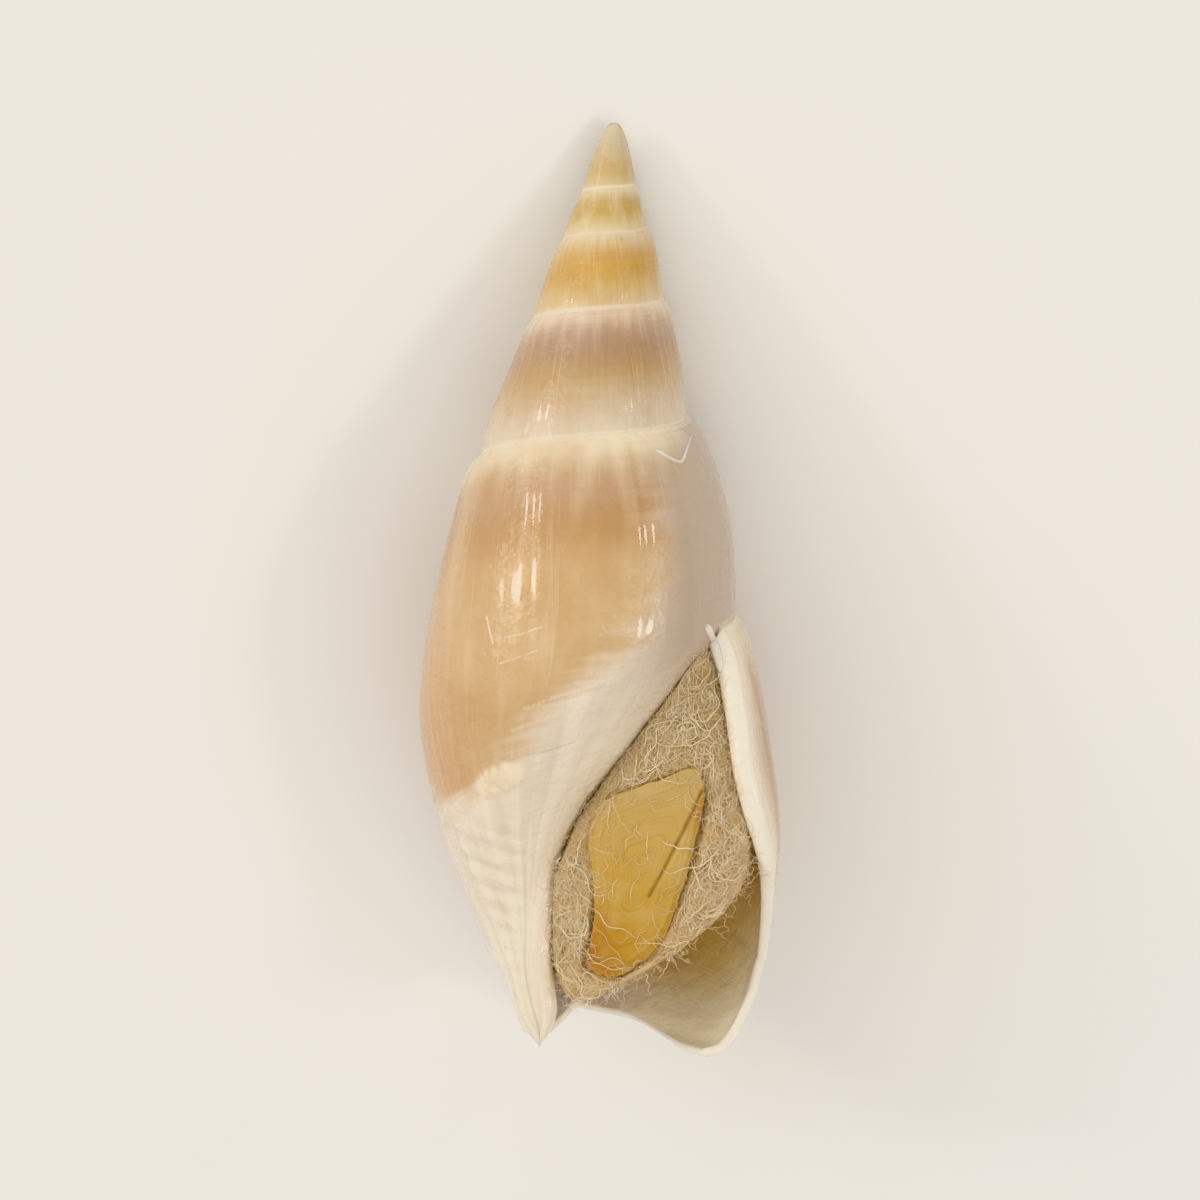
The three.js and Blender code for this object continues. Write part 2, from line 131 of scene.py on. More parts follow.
# The strip that the shell is wound from. A turn is 0 on the right of the finished lip and -1 one whorl
# earlier. A place runs from the suture (0) past the next suture (3) to the front tip (10).
strip = {
    "length": 50.06,
    "whorlGrowth": 1.68,
    "sutureHeight": 25.1,
    "sutureSway": 0.035,
    "spireSlope": 0.3,
    "spireSwell": 0.42,
    "apexBlend": 3,
    "sutureWaist": 0.18,       # the suture is drawn in on the right above the last whorl
    "waistWidth": 0.3,
    "domeWaist": 0.62,         # the first whorl is a dome, slimmer than a paraboloid at its top
    "domeBend": 1.5,
    "firstTurn": -5 - 1 / 14,
    "lipTurn": 1 / 14,
    "tipTurn": -0.5,
    "notchStart": -0.235,
    "notchEnd": 0.045,
    "deepTurn": -8 / 14,
    "frontDelay": 0.1,
    "blindEase": 0.12,         # turns over which the hollow opens from its blind end
    "backRound": 0.12,         # shares of the hollow over which its back and its front are rounded
    "frontRound": 0.25,
    "axisLean": 1.5,           # the columella stands this far left, between these heights
    "leanSpan": (26, 43),
    "axisReturn": 0.94,        # and comes back by this much from this height on
    "returnFrom": 45,
    "lipWall": 0.9,
    "frontWall": 0.5,
    "frontWallSpan": (34, 46),
    "leastWall": 0.05,
    "lipThickening": 0.3,
    "thickeningTurn": 0.1,
    "thickeningSpan": (46, 36),
    "edgeBulge": 0.4,          # how far a free edge is rounded out, as a share of its thickness
    "notchDepth": 1.4,         # in places
    "notchRise": 0.05,         # turns in which the notch begins and ends
    "notchFall": 0.16,
    "notchBeard": 0.5,         # the step down from the columella's tip to the notch
    "beardRise": 0.1,
    "frontLag": 0.9,
    "shoulderReach": 0.04,
    "drawnTurn": -0.2,         # the lip is drawn back towards the front from here
    "drawnBack": -1 / 60,      # to here, between these heights
    "drawnSpan": (32, 49),
}

# height and distance from the axis at places 3 to 10, for each half turn from -2 to 0.5
profiles = np.array([
    [(15.4, 5.2), (18, 4.6), (22, 3), (27, 1.6), (32.5, 1.2), (38, 1.05), (44.5, 1), (50.06, 0)],
    [(18.69, 6.16), (21.5, 5.5), (25, 4), (29, 2.4), (33.5, 1.6), (38.5, 1), (44.5, 0.5), (50.06, 0)],
    [(25.98, 8.22), (28.4, 7.4), (31.4, 5.4), (35, 3), (39, 1.4), (43.5, 1.3), (47.8, 1.16), (50.06, 0)],
    [(31.4, 7.9), (34.8, 6.82), (38.3, 5.02), (41.2, 3.28), (43.8, 1.78), (46.2, 0.95), (48.4, 0.8),
     (50.06, 0)],
    [(43.6, 12.84), (45, 12.71), (46.3, 12.5), (47.4, 12.03), (48.4, 11.42), (49.2, 10.8), (49.8, 10.15),
     (50.1, 9.35)],
    [(50, 15), (51, 15), (51.5, 14.8), (52, 14.5), (52.5, 14), (52.8, 13.6), (53, 13), (53.2, 12.5)],
])
# how far a whorl swells at its shoulder and lower down, for each half turn from -4 to 0.5
shoulders = np.array([0.055, 0.05, 0.085, 0.055, 0.09, 0.055, 0.12, 0.1, 0.06, 0.06])
upperSwells = np.array([0.05, 0.02, 0.1, 0.04, 0.065, 0.04, 0.165, 0.085, 0.11, 0.09])
lowerSwells = np.array([0.04, 0.03, 0.09, 0.045, 0.085, 0.085, 0.16, 0.115, 0.165, 0.155])

# columns in each turn and rows along the profile; the next whorl starts on the suture row
grid = {
    "columns": 252, "rows": 112, "sutureRow": 28, "edgeSteps": 14, "cornerPlace": 3.4, "canalPlace": 9.2,
    "crowding": 1.6,           # of the rows towards the suture
    "lipCrowding": 1.3,
    "lipShare": 0.73,          # the share of the rows above place 3 at the lip
}
grid["cornerRow"] = grid["sutureRow"] + grid["edgeSteps"]
grid["canalRow"] = grid["rows"] - grid["edgeSteps"]
# the columns where the strip begins, the lip ends, and the free front edge and the hollow begin, from turn 0
for edgeName in ("first", "lip", "tip", "deep"):
    grid[edgeName] = round(strip[edgeName + "Turn"] * grid["columns"])


# a value at a turn, from a list that gives it for each half turn and ends at 0.5
def atTurn(values, turn, lag=0):
    place = np.clip((turn - 0.5) * 2 + len(values) - 1, 0, len(values) - 1.001)
    i = np.floor(place).astype(int)
    share = place - i
    tipStation = round((strip["tipTurn"] - 0.5) * 2) + len(values) - 1
    share = np.where(i == tipStation, share * (1 - lag * (1 - share) ** 2), share)
    near = [values[np.clip(i + k, 0, len(values) - 1)] for k in (-1, 0, 1, 2)]
    return curve(*near, share)


# the height of the suture and its distance from the axis
def suture(turn):
    sway = 1 + strip["sutureSway"] * np.cos(2 * np.pi * turn)
    height = strip["sutureHeight"] * strip["whorlGrowth"] ** turn * sway
    waist = strip["sutureWaist"] * np.exp(-((turn + 1) / strip["waistWidth"]) ** 2)
    swell = strip["spireSwell"] * np.tanh(height / strip["apexBlend"])
    return height, strip["spireSlope"] * height + swell - waist


# the heights and the radii of a profile's eleven points
def profileAt(turn):
    topHeight, topRadius = suture(turn)
    protoconch = turn < strip["firstTurn"] + 1
    topHeight = np.where(protoconch, 0, topHeight)
    topRadius = np.where(protoconch, 0, topRadius)
    read = [
        [atTurn(profiles[:, k, axis], turn, strip["frontLag"] * float(smooth((k - 2) / 5))) for k in range(8)]
        for axis in (0, 1)
    ]
    smaller = strip["whorlGrowth"] ** np.minimum(0, turn + 2)      # earlier whorls have the same profile
    read = [[value * smaller for value in values] for values in read]
    below = suture(turn + 1)
    lowHeight = np.where(turn > -1, read[0][0], below[0])
    lowRadius = np.where(turn > -1, read[1][0], below[1])
    heights, radii = [], []
    for k, side in enumerate((0, atTurn(upperSwells, turn), atTurn(lowerSwells, turn))):
        heights.append(mix(topHeight, lowHeight, k / 3))
        radii.append(mix(topRadius, lowRadius, k / 3) + side * topRadius)
    heights += [lowHeight] + read[0][1:]
    radii += [lowRadius] + read[1][1:]
    return np.array(heights), np.array(radii)


def onProfile(turn, place):
    turn, place = (a.astype(float) for a in np.broadcast_arrays(turn, place))
    shape = turn.shape
    turn, place = turn.ravel(), place.ravel()
    heights, radii = profileAt(turn)
    i = np.clip(np.floor(place).astype(int), 0, 9)

    def along(points):
        longer = np.concatenate([2 * points[:1] - points[1:2], points, points[-1:]])
        near = [np.take_along_axis(longer, (i + k)[None], 0)[0] for k in (0, 1, 2, 3)]
        return curve(*near, place - i)

    v = np.minimum(1, place / 3)
    swell = atTurn(shoulders, turn) * (1 - np.exp(-v / strip["shoulderReach"])) * (1 - v) ** 2
    height = along(heights)
    radius = np.maximum(0, along(radii) + swell * radii[0])
    dome = turn < strip["firstTurn"] + 1
    height = np.where(dome, heights[3] * v ** strip["domeBend"], height)
    radius = np.where(dome, radii[3] * np.sqrt(v) * mix(strip["domeWaist"], 1, v), radius)
    return height.reshape(shape), radius.reshape(shape)


# a point in the shell's frame, with the columella's lean
def toPoint(turn, height, radius):
    lean = -strip["axisLean"] * ease(height, *strip["leanSpan"])
    lean = lean + strip["axisReturn"] * ease(height, strip["returnFrom"], strip["length"])
    angle = 2 * np.pi * turn
    across, out = lean + radius * np.cos(angle), radius * np.sin(angle)
    return np.stack(np.broadcast_arrays(across, -height, out), axis=-1)


# the place of a row: even steps on the lip, and on the earlier turns rows kept for the suture and the edges
def rowPlace(turn, row):
    g = grid
    between = (row - g["cornerRow"]) / (g["canalRow"] - g["cornerRow"])
    fixed = np.where(
        row <= g["sutureRow"],
        3 * (np.minimum(row, g["sutureRow"]) / g["sutureRow"]) ** g["crowding"],
        np.where(
            row <= g["cornerRow"],
            mix(3, g["cornerPlace"], (row - g["sutureRow"]) / g["edgeSteps"]),
            np.where(
                row <= g["canalRow"],
                mix(g["cornerPlace"], g["canalPlace"], between),
                mix(g["canalPlace"], 10, (row - g["canalRow"]) / g["edgeSteps"]),
            ),
        ),
    )
    knee = mix(g["sutureRow"] / g["rows"], g["lipShare"], smooth(turn + 1))
    share = row / g["rows"]
    notch = strip["notchBeard"] * smooth((turn - strip["tipTurn"]) / strip["beardRise"])
    notch = notch + strip["notchDepth"] * smooth((turn - strip["notchStart"]) / strip["notchRise"])
    notch = notch * smooth((strip["notchEnd"] - turn) / strip["notchFall"])
    even = np.where(
        share < knee,
        3 * (np.minimum(share, knee) / knee) ** g["lipCrowding"],
        mix(3, 10 - notch, (share - knee) / (1 - knee)),
    )
    late = 1 - strip["lipTurn"]
    return mix(fixed, even, smooth((turn + late) / (late + strip["tipTurn"])))


# the lip runs back towards the front end, and the last columns with it
def drawnTurn(turn, place):
    height, _ = onProfile(np.zeros_like(place), place)
    back = mix(strip["lipTurn"], strip["drawnBack"], ease(height, *strip["drawnSpan"]))
    start = strip["drawnTurn"]
    return np.where(turn <= start, turn, start + (turn - start) * (back - start) / (strip["lipTurn"] - start))


# the inner side of the wall at a place
def wallInside(turn, place):
    step = 0.05
    before = onProfile(turn, np.maximum(0, place - step))
    after = onProfile(turn, np.minimum(10, place + step))
    height, radius = onProfile(turn, place)
    along = np.hypot(after[0] - before[0], after[1] - before[1])
    thick = mix(strip["lipWall"], strip["frontWall"], ease(height, *strip["frontWallSpan"]))
    lip = ease(turn, strip["lipTurn"] - strip["thickeningTurn"], strip["lipTurn"])
    lip = lip * ease(height, *strip["thickeningSpan"])
    thick = thick + strip["lipThickening"] * lip
    return (
        height + thick * (after[1] - before[1]) / along,
        radius - thick * (after[0] - before[0]) / along,
    )


# the earlier whorl inside the hollow, at a share of the way from the suture to the canal
def innerWhorl(turn, share):
    return onProfile(turn - 1, rowPlace(turn - 1, mix(grid["cornerRow"], grid["canalRow"], share)))


# Relief and paint that follow the picture of the mouth side are placed by height and x in the shell's frame.
callusForm = {
    # height and x of the edge of the white callus, from the suture to the left side
    "border": ((16.31, 4.5), (21.22, 3.95), (24.44, 4.4), (27.81, 3.0), (31.34, -0.9), (34.4, -2.9),
               (36.2, -4.1), (37.5, -6.6)),
    "softness": 1.8,
    "backPlace": (4.67, 3.5),  # the place of its edge on the back, at the left side and at the lip
    "placeSize": 2.2,          # mm, what a place measures there
    "oldTurn": -1.08,          # it thins out past this turn, on the right
    "turnSize": 45,            # mm, what a turn measures there
    "farthest": 4,             # mm, how far from its edge the distance is still told
    "lift": 0.05,
}
lipForm = {"margin": 0.03, "stripes": 0.05, "stripeCount": 260}
pleatForm = {"count": 27, "lift": 0.07, "reach": 0.9, "wander": 1.1}
growthForm = {"counts": (17, 29, 43, 61), "lift": 0.012}
# folds in the wall low on the left, between the columella's fold and the left side
wrinkleForm = {
    "spacing": 1.05, "slant": -0.42, "bend": 0.035, "lift": 0.065, "left": -6.5, "right": -1.4,
    "top": 37.5, "bottom": 49,
}
blisterForm = {"height": 35.75, "x": -3.7, "long": 1.3, "short": 0.62, "tilt": -24, "lift": 0.2, "rim": 0.2}
# thin marks, each with its path as height and x, its width in mm and its strength; the dark one is a crease,
# whose dark line is painted shade, and the two thin lines are painted highlights on faint spiral ridges
fineMarks = {
    "crease": (((34.35, -2.3), (34.1, -1.4), (33.75, -0.5), (33.5, 0.1)), 0.08, -0.26),
    "scratch": (((27.14, -4.98), (27.8, -4.8), (28.52, -4.56)), 0.075, 0.8),
    # painted highlights: two thin pale lines where faint spiral ridges catch the light
    "upperGlintLine": (((28.15, -3.93), (27.85, -2.95), (27.42, -1.98)), 0.06, 0.5),
    "lowerGlintLine": (((29.58, -4.16), (29.15, -3.16), (28.73, -2.16)), 0.06, 0.45),
    "upperRidge": (((31.9, -2.6), (31.2, -1.2), (30.6, 0.4), (29.9, 1.9)), 0.16, 0.3),
    "lowerRidge": (((33.1, -3.2), (32.4, -1.8), (31.8, -0.4)), 0.2, 0.25),
}
grooveForm = {"fill": 0.1, "above": 0.14, "below": 0.05}      # fills the sutures a little
foldForm = {"x": -2.35, "width": 0.5, "lift": 0.14, "from": 41.5, "to": 49}


# a smooth curve through points, as a function of the first of their two numbers
def through(points, where):
    at, values = (np.array(v, float) for v in zip(*points))
    slope = np.gradient(values, at)
    i = np.clip(np.searchsorted(at, where) - 1, 0, len(at) - 2)
    span = at[i + 1] - at[i]
    s = np.clip((where - at[i]) / span, 0, 1)
    bend = s * s * (3 - 2 * s)
    return (
        mix(values[i], values[i + 1], bend)
        + span * slope[i] * s * (1 - s) ** 2
        - span * slope[i + 1] * s * s * (1 - s)
    )


# how far a point is inside the edge of the white callus, in millimetres
def callusReach(turn, place, x, height):
    front = x - through(callusForm["border"], height)
    lowest, left = callusForm["border"][-1]
    front = np.where(height > lowest, np.maximum(height - lowest, x - left) * 0.6 + 0.6, front)
    front = np.minimum(front, (turn - callusForm["oldTurn"]) * callusForm["turnSize"])
    edge = mix(*callusForm["backPlace"], np.clip((turn + 0.5) / 0.5, 0, 1))
    back = (place - edge) * callusForm["placeSize"]
    reach = mix(front, back, smooth((turn - strip["tipTurn"] + 0.03) / 0.06))
    far = callusForm["farthest"]
    return np.clip(np.where(turn < -1.2, -far, reach), -far, far)


# the turn at which a place of the strip was grown
def growthOf(turn, place):
    return turn + 0.02 * np.sin(np.pi / 6 * np.minimum(place, 4)) - 0.05 * smooth((place - 3) / 7)


# the pleats under the suture, 0 to 1
def pleatWave(turn, place):
    wander = pleatForm["wander"] * (np.sin(2 * np.pi * 2.3 * turn) + 0.7 * np.sin(2 * np.pi * 5.1 * turn + 1))
    wave = 0.5 + 0.5 * np.cos(2 * np.pi * pleatForm["count"] * turn + wander)
    uneven = 0.55 + 0.3 * np.sin(2 * np.pi * 7.7 * turn + 2) + 0.15 * np.sin(2 * np.pi * 18.3 * turn)
    fade = smooth(place / 0.1) * (1 - smooth((place - 0.15) / pleatForm["reach"]))
    return wave * uneven * fade


# how far a point is from a line through points of height and x
def lineDistance(x, height, path):
    nearest = np.full(x.shape, 1e9)
    for (h0, x0), (h1, x1) in zip(path, path[1:]):
        length = (h1 - h0) ** 2 + (x1 - x0) ** 2
        share = np.clip(((height - h0) * (h1 - h0) + (x - x0) * (x1 - x0)) / length, 0, 1)
        nearest = np.minimum(nearest, np.hypot(height - mix(h0, h1, share), x - mix(x0, x1, share)))
    return nearest


# true on the mouth side of the last whorl
def onBody(turn, point):
    return (point[..., 2] > 0) & (turn > -1 + strip["lipTurn"]) & (turn < strip["tipTurn"] + 0.05)


def wrinkleZone(x, height):
    w = wrinkleForm
    down = smooth((height - w["top"]) / 1.5) * smooth((w["bottom"] - height) / 2)
    return down * smooth((w["right"] - x) / 1.5)


def wrinklePhase(x, height):
    w = wrinkleForm
    across = x - w["left"]
    return (height + w["slant"] * across + w["bend"] * across ** 2) / w["spacing"]


# 1 on the blister's rim, less inside
def blisterDistance(x, height):
    b = blisterForm
    tilt = math.radians(b["tilt"])
    across, down = x - b["x"], height - b["height"]
    along = (across * math.cos(tilt) + down * math.sin(tilt)) / b["long"]
    return np.hypot(along, (down * math.cos(tilt) - across * math.sin(tilt)) / b["short"])


# small marks, pale above 0 and dark below it; the dark is painted shade in the troughs of the wrinkles
def markOf(turn, point):
    x, height = point[..., 0], -point[..., 1]
    rim = blisterDistance(x, height)
    mark = 0.9 * np.exp(-((rim - 0.9) / blisterForm["rim"]) ** 2) + 0.35 * smooth(1.3 - rim)
    # painted shade, darker where the wrinkles' relief sinks
    mark = mark - 0.3 * wrinkleZone(x, height) * smooth(-np.sin(2 * np.pi * wrinklePhase(x, height)))
    return mark * onBody(turn, point)


# how far the finished surface stands out from the plain strip
def relief(turn, place, point, callus):
    x, height, front = point[..., 0], -point[..., 1], point[..., 2] > 0
    size = np.minimum(1, suture(turn)[1] / 7)
    ends = smooth(place / 0.15) * np.where(turn < -1 + strip["lipTurn"], smooth((3 - place) / 0.3), 1)
    ends = ends * smooth((turn - strip["firstTurn"] - 1) / 0.15)
    lift = pleatForm["lift"] * size * pleatWave(turn, place) * (1 - 0.8 * callus) * ends
    slant = growthOf(turn, place)
    for k, count in enumerate(growthForm["counts"]):
        wave = np.sin(2 * np.pi * count * slant + 1.7 * k + np.sin(2 * np.pi * 3.1 * turn + k))
        lift = lift + growthForm["lift"] * size * ends * wave * (1 - 0.7 * callus)
    lift = lift + callusForm["lift"] * callus * ends * front
    wound = turn > strip["firstTurn"] + 1
    groove = np.exp(-place / grooveForm["below"]) * wound
    groove = groove + np.exp(-np.abs(3 - place) / grooveForm["above"]) * (turn < -1 + strip["lipTurn"])
    lift = lift + grooveForm["fill"] * size * groove
    edge = smooth((turn - strip["lipTurn"] + 0.06) / 0.06) * smooth((9.5 - place) / 1)
    stripes = 0.5 + 0.5 * np.sin(lipForm["stripeCount"] * growthOf(turn, 0.5 * place))
    lift = lift + lipForm["stripes"] * edge * stripes
    body = onBody(turn, point)
    w = wrinkleForm
    zone = wrinkleZone(x, height) * body
    phase = wrinklePhase(x, height)
    lift = lift + w["lift"] * zone * (np.sin(2 * np.pi * phase) + 0.4 * np.sin(2 * np.pi * 2.3 * phase + 1))
    lift = lift + blisterForm["lift"] * body * smooth(1.25 - blisterDistance(x, height))
    f = foldForm
    fold = np.exp(-((x - f["x"]) / f["width"]) ** 2) * smooth((height - f["from"]) / 3)
    return lift + f["lift"] * body * fold * smooth((f["to"] - height) / 2)


def addToScene(name, data):
    thing = bpy.data.objects.new(name, data)
    bpy.context.scene.collection.objects.link(thing)
    return thing


# the values that the shell's material reads
shellValues = ("turn", "place", "reach", "growth", "pleat", "mark", "rim", "inner", "depth")


# Gathers points and faces of one mesh, with values that the materials read.
class Body:
    def __init__(self, *names):
        self.names = names
        self.points = []
        self.values = {name: [] for name in names}
        self.quads = []
        self.count = 0

    def add(self, points, **values):
        shape = points.shape[:-1]
        number = int(np.prod(shape))
        self.points.append(points.reshape(-1, 3))
        for name in self.names:
            value = np.broadcast_to(np.asarray(values.get(name, 0.0), float), shape)
            self.values[name].append(value.ravel())
        index = np.arange(self.count, self.count + number).reshape(shape)
        self.count += number
        return index

    def join(self, a, b, c, d):
        self.quads.append(np.stack([q.ravel() for q in np.broadcast_arrays(a, b, c, d)], axis=1))

    def sheet(self, index, flip=False):
        first, *others = index[:-1, :-1], index[1:, :-1], index[1:, 1:], index[:-1, 1:]
        self.join(first, *(reversed(others) if flip else others))

    def make(self, name, place):
        points = place(np.concatenate(self.points))
        quads = np.concatenate(self.quads)
        used = np.unique(quads)
        again = np.full(self.count, -1)
        again[used] = np.arange(len(used))
        quads = again[quads]
        faces = []
        for quad in quads.tolist():
            corners = [c for k, c in enumerate(quad) if c not in quad[:k]]
            if len(corners) > 2:
                faces.append(corners)
        mesh = bpy.data.meshes.new(name)
        mesh.from_pydata(points[used].tolist(), [], faces)
        for key, value in self.values.items():
            layer = mesh.attributes.new(key, "FLOAT", "POINT")
            layer.data.foreach_set("value", np.concatenate(value)[used].astype(np.float32))
        mesh.polygons.foreach_set("use_smooth", [True] * len(faces))
        mesh.update()
        return addToScene(name, mesh)


# the strip's points from a column to the lip: their turns before and after the lip is drawn back, and places
def stripFrom(column):
    nominal = np.arange(column, grid["lip"] + 1)[:, None] / grid["columns"]
    place = rowPlace(nominal, np.arange(grid["rows"] + 1)[None, :])
    return nominal, drawnTurn(np.broadcast_to(nominal, place.shape), place), place


def addOutside(skin):
    columns = grid["columns"]
    nominal, turn, place = stripFrom(grid["first"])
    height, radius = onProfile(turn, place)
    point = toPoint(turn, height, radius)
    normal = unit(np.cross(np.gradient(point, axis=0), np.gradient(point, axis=1)))
    reach = callusReach(turn, place, point[..., 0], height)
    callus = smooth(reach / callusForm["softness"] + 0.5)
    point = point + normal * relief(turn, place, point, callus)[..., None]
    point[columns:, 0] = point[:-columns, grid["sutureRow"]]
    margin = smooth((nominal - strip["lipTurn"] + lipForm["margin"]) / lipForm["margin"])
    outer = skin.add(point, turn=turn, place=place, reach=reach, growth=growthOf(turn, place),
                     pleat=pleatWave(turn, place), mark=markOf(turn, point), rim=margin)
    apex = skin.add(np.zeros((1, 3)), turn=strip["firstTurn"], place=0)
    outer[:columns, 0] = apex[0]
    end = skin.add(toPoint(0.0, strip["length"], 0.0)[None], turn=-0.5, place=10, reach=4)
    outer[: at(grid["tip"]) + 1, grid["rows"]] = end[0]
    return outer


# the row of the outside's points that a column has
def at(column):
    return column - grid["first"]


# the outside's faces, apart from where the next whorl covers it
def coverOutside(skin, outer):
    columns, suture, corner, canal = (grid[k] for k in ("columns", "sutureRow", "cornerRow", "canalRow"))
    # the first whorl closes on its own start
    seam = np.concatenate([outer[0, : suture + 1], outer[columns, 1: suture + 1]])
    last = outer[columns - 1]
    for j in range(suture):
        skin.join(last[j], seam[2 * j], seam[2 * j + 1], last[j + 1])
        skin.join(last[j + 1], seam[2 * j + 1], seam[2 * j + 2], last[j + 1])
    spire = at(grid["lip"] - columns)
    skin.sheet(outer[:columns, : suture + 1])
    skin.sheet(outer[columns: spire + 1, : suture + 1])
    skin.sheet(outer[at(grid["deep"] - columns): spire + 1, corner: canal + 1])
    skin.sheet(outer[at(grid["tip"] - columns): spire + 1, canal:])
    skin.sheet(outer[spire:])


# the inside of the wall, and the hollow's blind end
def addInside(skin, outer):
    rows, deep = grid["rows"], grid["deep"]
    nominal, turn, place = stripFrom(deep)
    share = np.broadcast_to(np.arange(rows + 1) / rows, place.shape)
    wallHeight, wallRadius = wallInside(turn, place)
    innerHeight, innerRadius = innerWhorl(turn, share)
    late = smooth((turn - strip["deepTurn"]) / strip["blindEase"])
    late = turn + strip["frontDelay"] * share ** 2 * (1 - late)
    opened = smooth((turn - strip["tipTurn"]) / strip["blindEase"])
    top = np.sin(np.pi / 2 * np.minimum(1, share / strip["backRound"]))
    bottom = mix(np.sin(np.pi / 2 * np.minimum(1, (1 - share) / strip["frontRound"])), 1, opened)
    point = toPoint(
        late,
        mix(innerHeight, wallHeight, top * bottom),
        mix(innerRadius, np.maximum(wallRadius, innerRadius + strip["leastWall"]), top * bottom),
    )
    depth = strip["lipTurn"] - nominal
    inner = skin.add(point, turn=turn, place=place, inner=1, depth=depth, rim=1 - smooth(depth / 0.02))
    under = outer[at(deep - grid["columns"]):]
    tip = grid["tip"] - deep
    inner[:, 0] = under[: len(inner), grid["cornerRow"]]
    inner[: tip + 1, rows] = under[: tip + 1, grid["canalRow"]]
    skin.sheet(inner, flip=True)
    loop = np.concatenate([inner[0, :rows], under[0, grid["canalRow"]: grid["cornerRow"]: -1]])
    middle = np.concatenate(skin.points)[loop].mean(axis=0)
    centre = skin.add(middle[None], inner=1, depth=strip["lipTurn"] - strip["deepTurn"])[0]
    skin.join(centre, np.roll(loop, -1), loop, centre)
    return inner


# the rounded edges of the lip and of the front
def addEdges(skin, outer, inner):
    columns, rows, steps, lip, tip = (grid[k] for k in ("columns", "rows", "edgeSteps", "lip", "tip"))
    every = np.concatenate(skin.points)

    def edge(outside, inside, before, bulge):
        a, b = every[outside], every[inside]
        reach = unit(a - every[before]) * (bulge * np.linalg.norm(a - b, axis=-1))[..., None]
        angle = np.pi * np.arange(1, steps) / steps
        points = [a + (b - a) * (1 - math.cos(q)) / 2 + reach * math.sin(q) for q in angle]
        middle = [skin.add(p, turn=strip["lipTurn"], place=5, rim=1) for p in points]
        return np.stack([outside, *middle, inside], axis=1)

    lipEdge = edge(outer[at(lip)], inner[-1], outer[at(lip) - 1], strip["edgeBulge"])
    span = slice(at(tip), at(lip) + 1)
    nominal = np.arange(tip, lip + 1) / columns
    swell = strip["edgeBulge"] * smooth((nominal - strip["tipTurn"]) / strip["blindEase"])
    frontEdge = edge(outer[span, rows], inner[tip - grid["deep"]:, rows], outer[span, rows - 1], swell)
    lipEdge[0, 1:-1] = outer[at(lip - columns), grid["sutureRow"] + 1: grid["cornerRow"]]
    frontEdge[0, 1:-1] = outer[at(tip - columns), rows - 1: grid["canalRow"]: -1]
    lipEdge[-1] = frontEdge[-1]      # the corner where the lip meets the front belongs to both edges
    skin.sheet(lipEdge, flip=True)
    skin.sheet(frontEdge)


def makeShell():
    skin = Body(*shellValues)
    outer = addOutside(skin)
    coverOutside(skin, outer)
    addEdges(skin, outer, addInside(skin, outer))
    return skin


def srgb(red, green, blue):
    def linear(c):
        c = c / 255
        return c / 12.92 if c <= 0.04045 else ((c + 0.055) / 1.055) ** 2.4
    return (linear(red), linear(green), linear(blue), 1.0)


# A value in a node tree. Reckoning with it adds the nodes that work the result out.
class Value:
    def __init__(self, nodes, socket):
        self.nodes = nodes
        self.socket = socket

    def __add__(self, other):
        return self.nodes.math("ADD", self, other)

    def __sub__(self, other):
        return self.nodes.math("SUBTRACT", self, other)

    def __mul__(self, other):
        return self.nodes.math("MULTIPLY", self, other)

    def __truediv__(self, other):
        return self.nodes.math("DIVIDE", self, other)

    __radd__ = __add__
    __rmul__ = __mul__

    # 0 at low and 1 at high, or the other way round where high is the smaller one
    def step(self, low, high, top=1.0):
        inputs = {"Value": self, "From Min": low, "From Max": high, "To Max": top}
        return self.nodes.put("ShaderNodeMapRange", inputs, interpolation_type="SMOOTHSTEP")


# Puts nodes into a tree. A colour is a value or the name of one of the paint's colours.
class Nodes:
    def __init__(self, tree, paint=None):
        self.tree = tree
        self.paint = paint
        self.colour = None

    def put(self, kind, inputs=None, out=0, **settings):
        node = self.tree.nodes.new(kind)
        for key, value in settings.items():
            setattr(node, key, value)
        for key, value in (inputs or {}).items():
            self.feed(node.inputs[key], value)
        return Value(self, node.outputs[out])

    def feed(self, socket, value):
        if isinstance(value, Value):
            self.tree.links.new(value.socket, socket)
        elif isinstance(value, str):
            socket.default_value = srgb(*self.paint[value])
        else:
            socket.default_value = value

    def math(self, operation, *values, clamp=False):
        return self.put("ShaderNodeMath", dict(enumerate(values)), operation=operation, use_clamp=clamp)

    def read(self, name):
        return self.put("ShaderNodeAttribute", out="Fac", attribute_name=name, attribute_type="GEOMETRY")

    def spot(self):
        return self.put("ShaderNodeTexCoord", out="Object")

    def vector(self, x, y, z=0.0):
        return self.put("ShaderNodeCombineXYZ", {0: x, 1: y, 2: z})

    def speckle(self, where, scale=1.0, detail=3.0, rough=0.55):
        inputs = {"Vector": where, "Scale": scale, "Detail": detail, "Roughness": rough}
        return self.put("ShaderNodeTexNoise", inputs, out="Fac")

    def blend(self, share, a, b):
        return self.put("ShaderNodeMix", {0: share, 6: a, 7: b}, out=2, data_type="RGBA")

    # lays another colour over what is painted so far
    def lay(self, share, colour):
        self.colour = self.blend(share, self.colour, colour)

    def ramp(self, value, stops):
        result = self.put("ShaderNodeValToRGB", {"Fac": value})
        band = result.socket.node.color_ramp
        band.interpolation = "B_SPLINE"
        while len(band.elements) < len(stops):
            band.elements.new(1)
        for element, (position, colour) in zip(band.elements, stops):
            element.position = position
            element.color = srgb(*colour)
        return result

    def bump(self, skin, height, strength, distance):
        inputs = {"Strength": strength, "Distance": distance, "Height": height}
        self.feed(skin["Normal"], self.put("ShaderNodeBump", inputs))

    def use(self, group, **inputs):
        node = self.tree.nodes.new("ShaderNodeGroup")
        node.node_tree = group
        for key, value in inputs.items():
            self.feed(node.inputs[key], value)
        return [Value(self, socket) for socket in node.outputs]


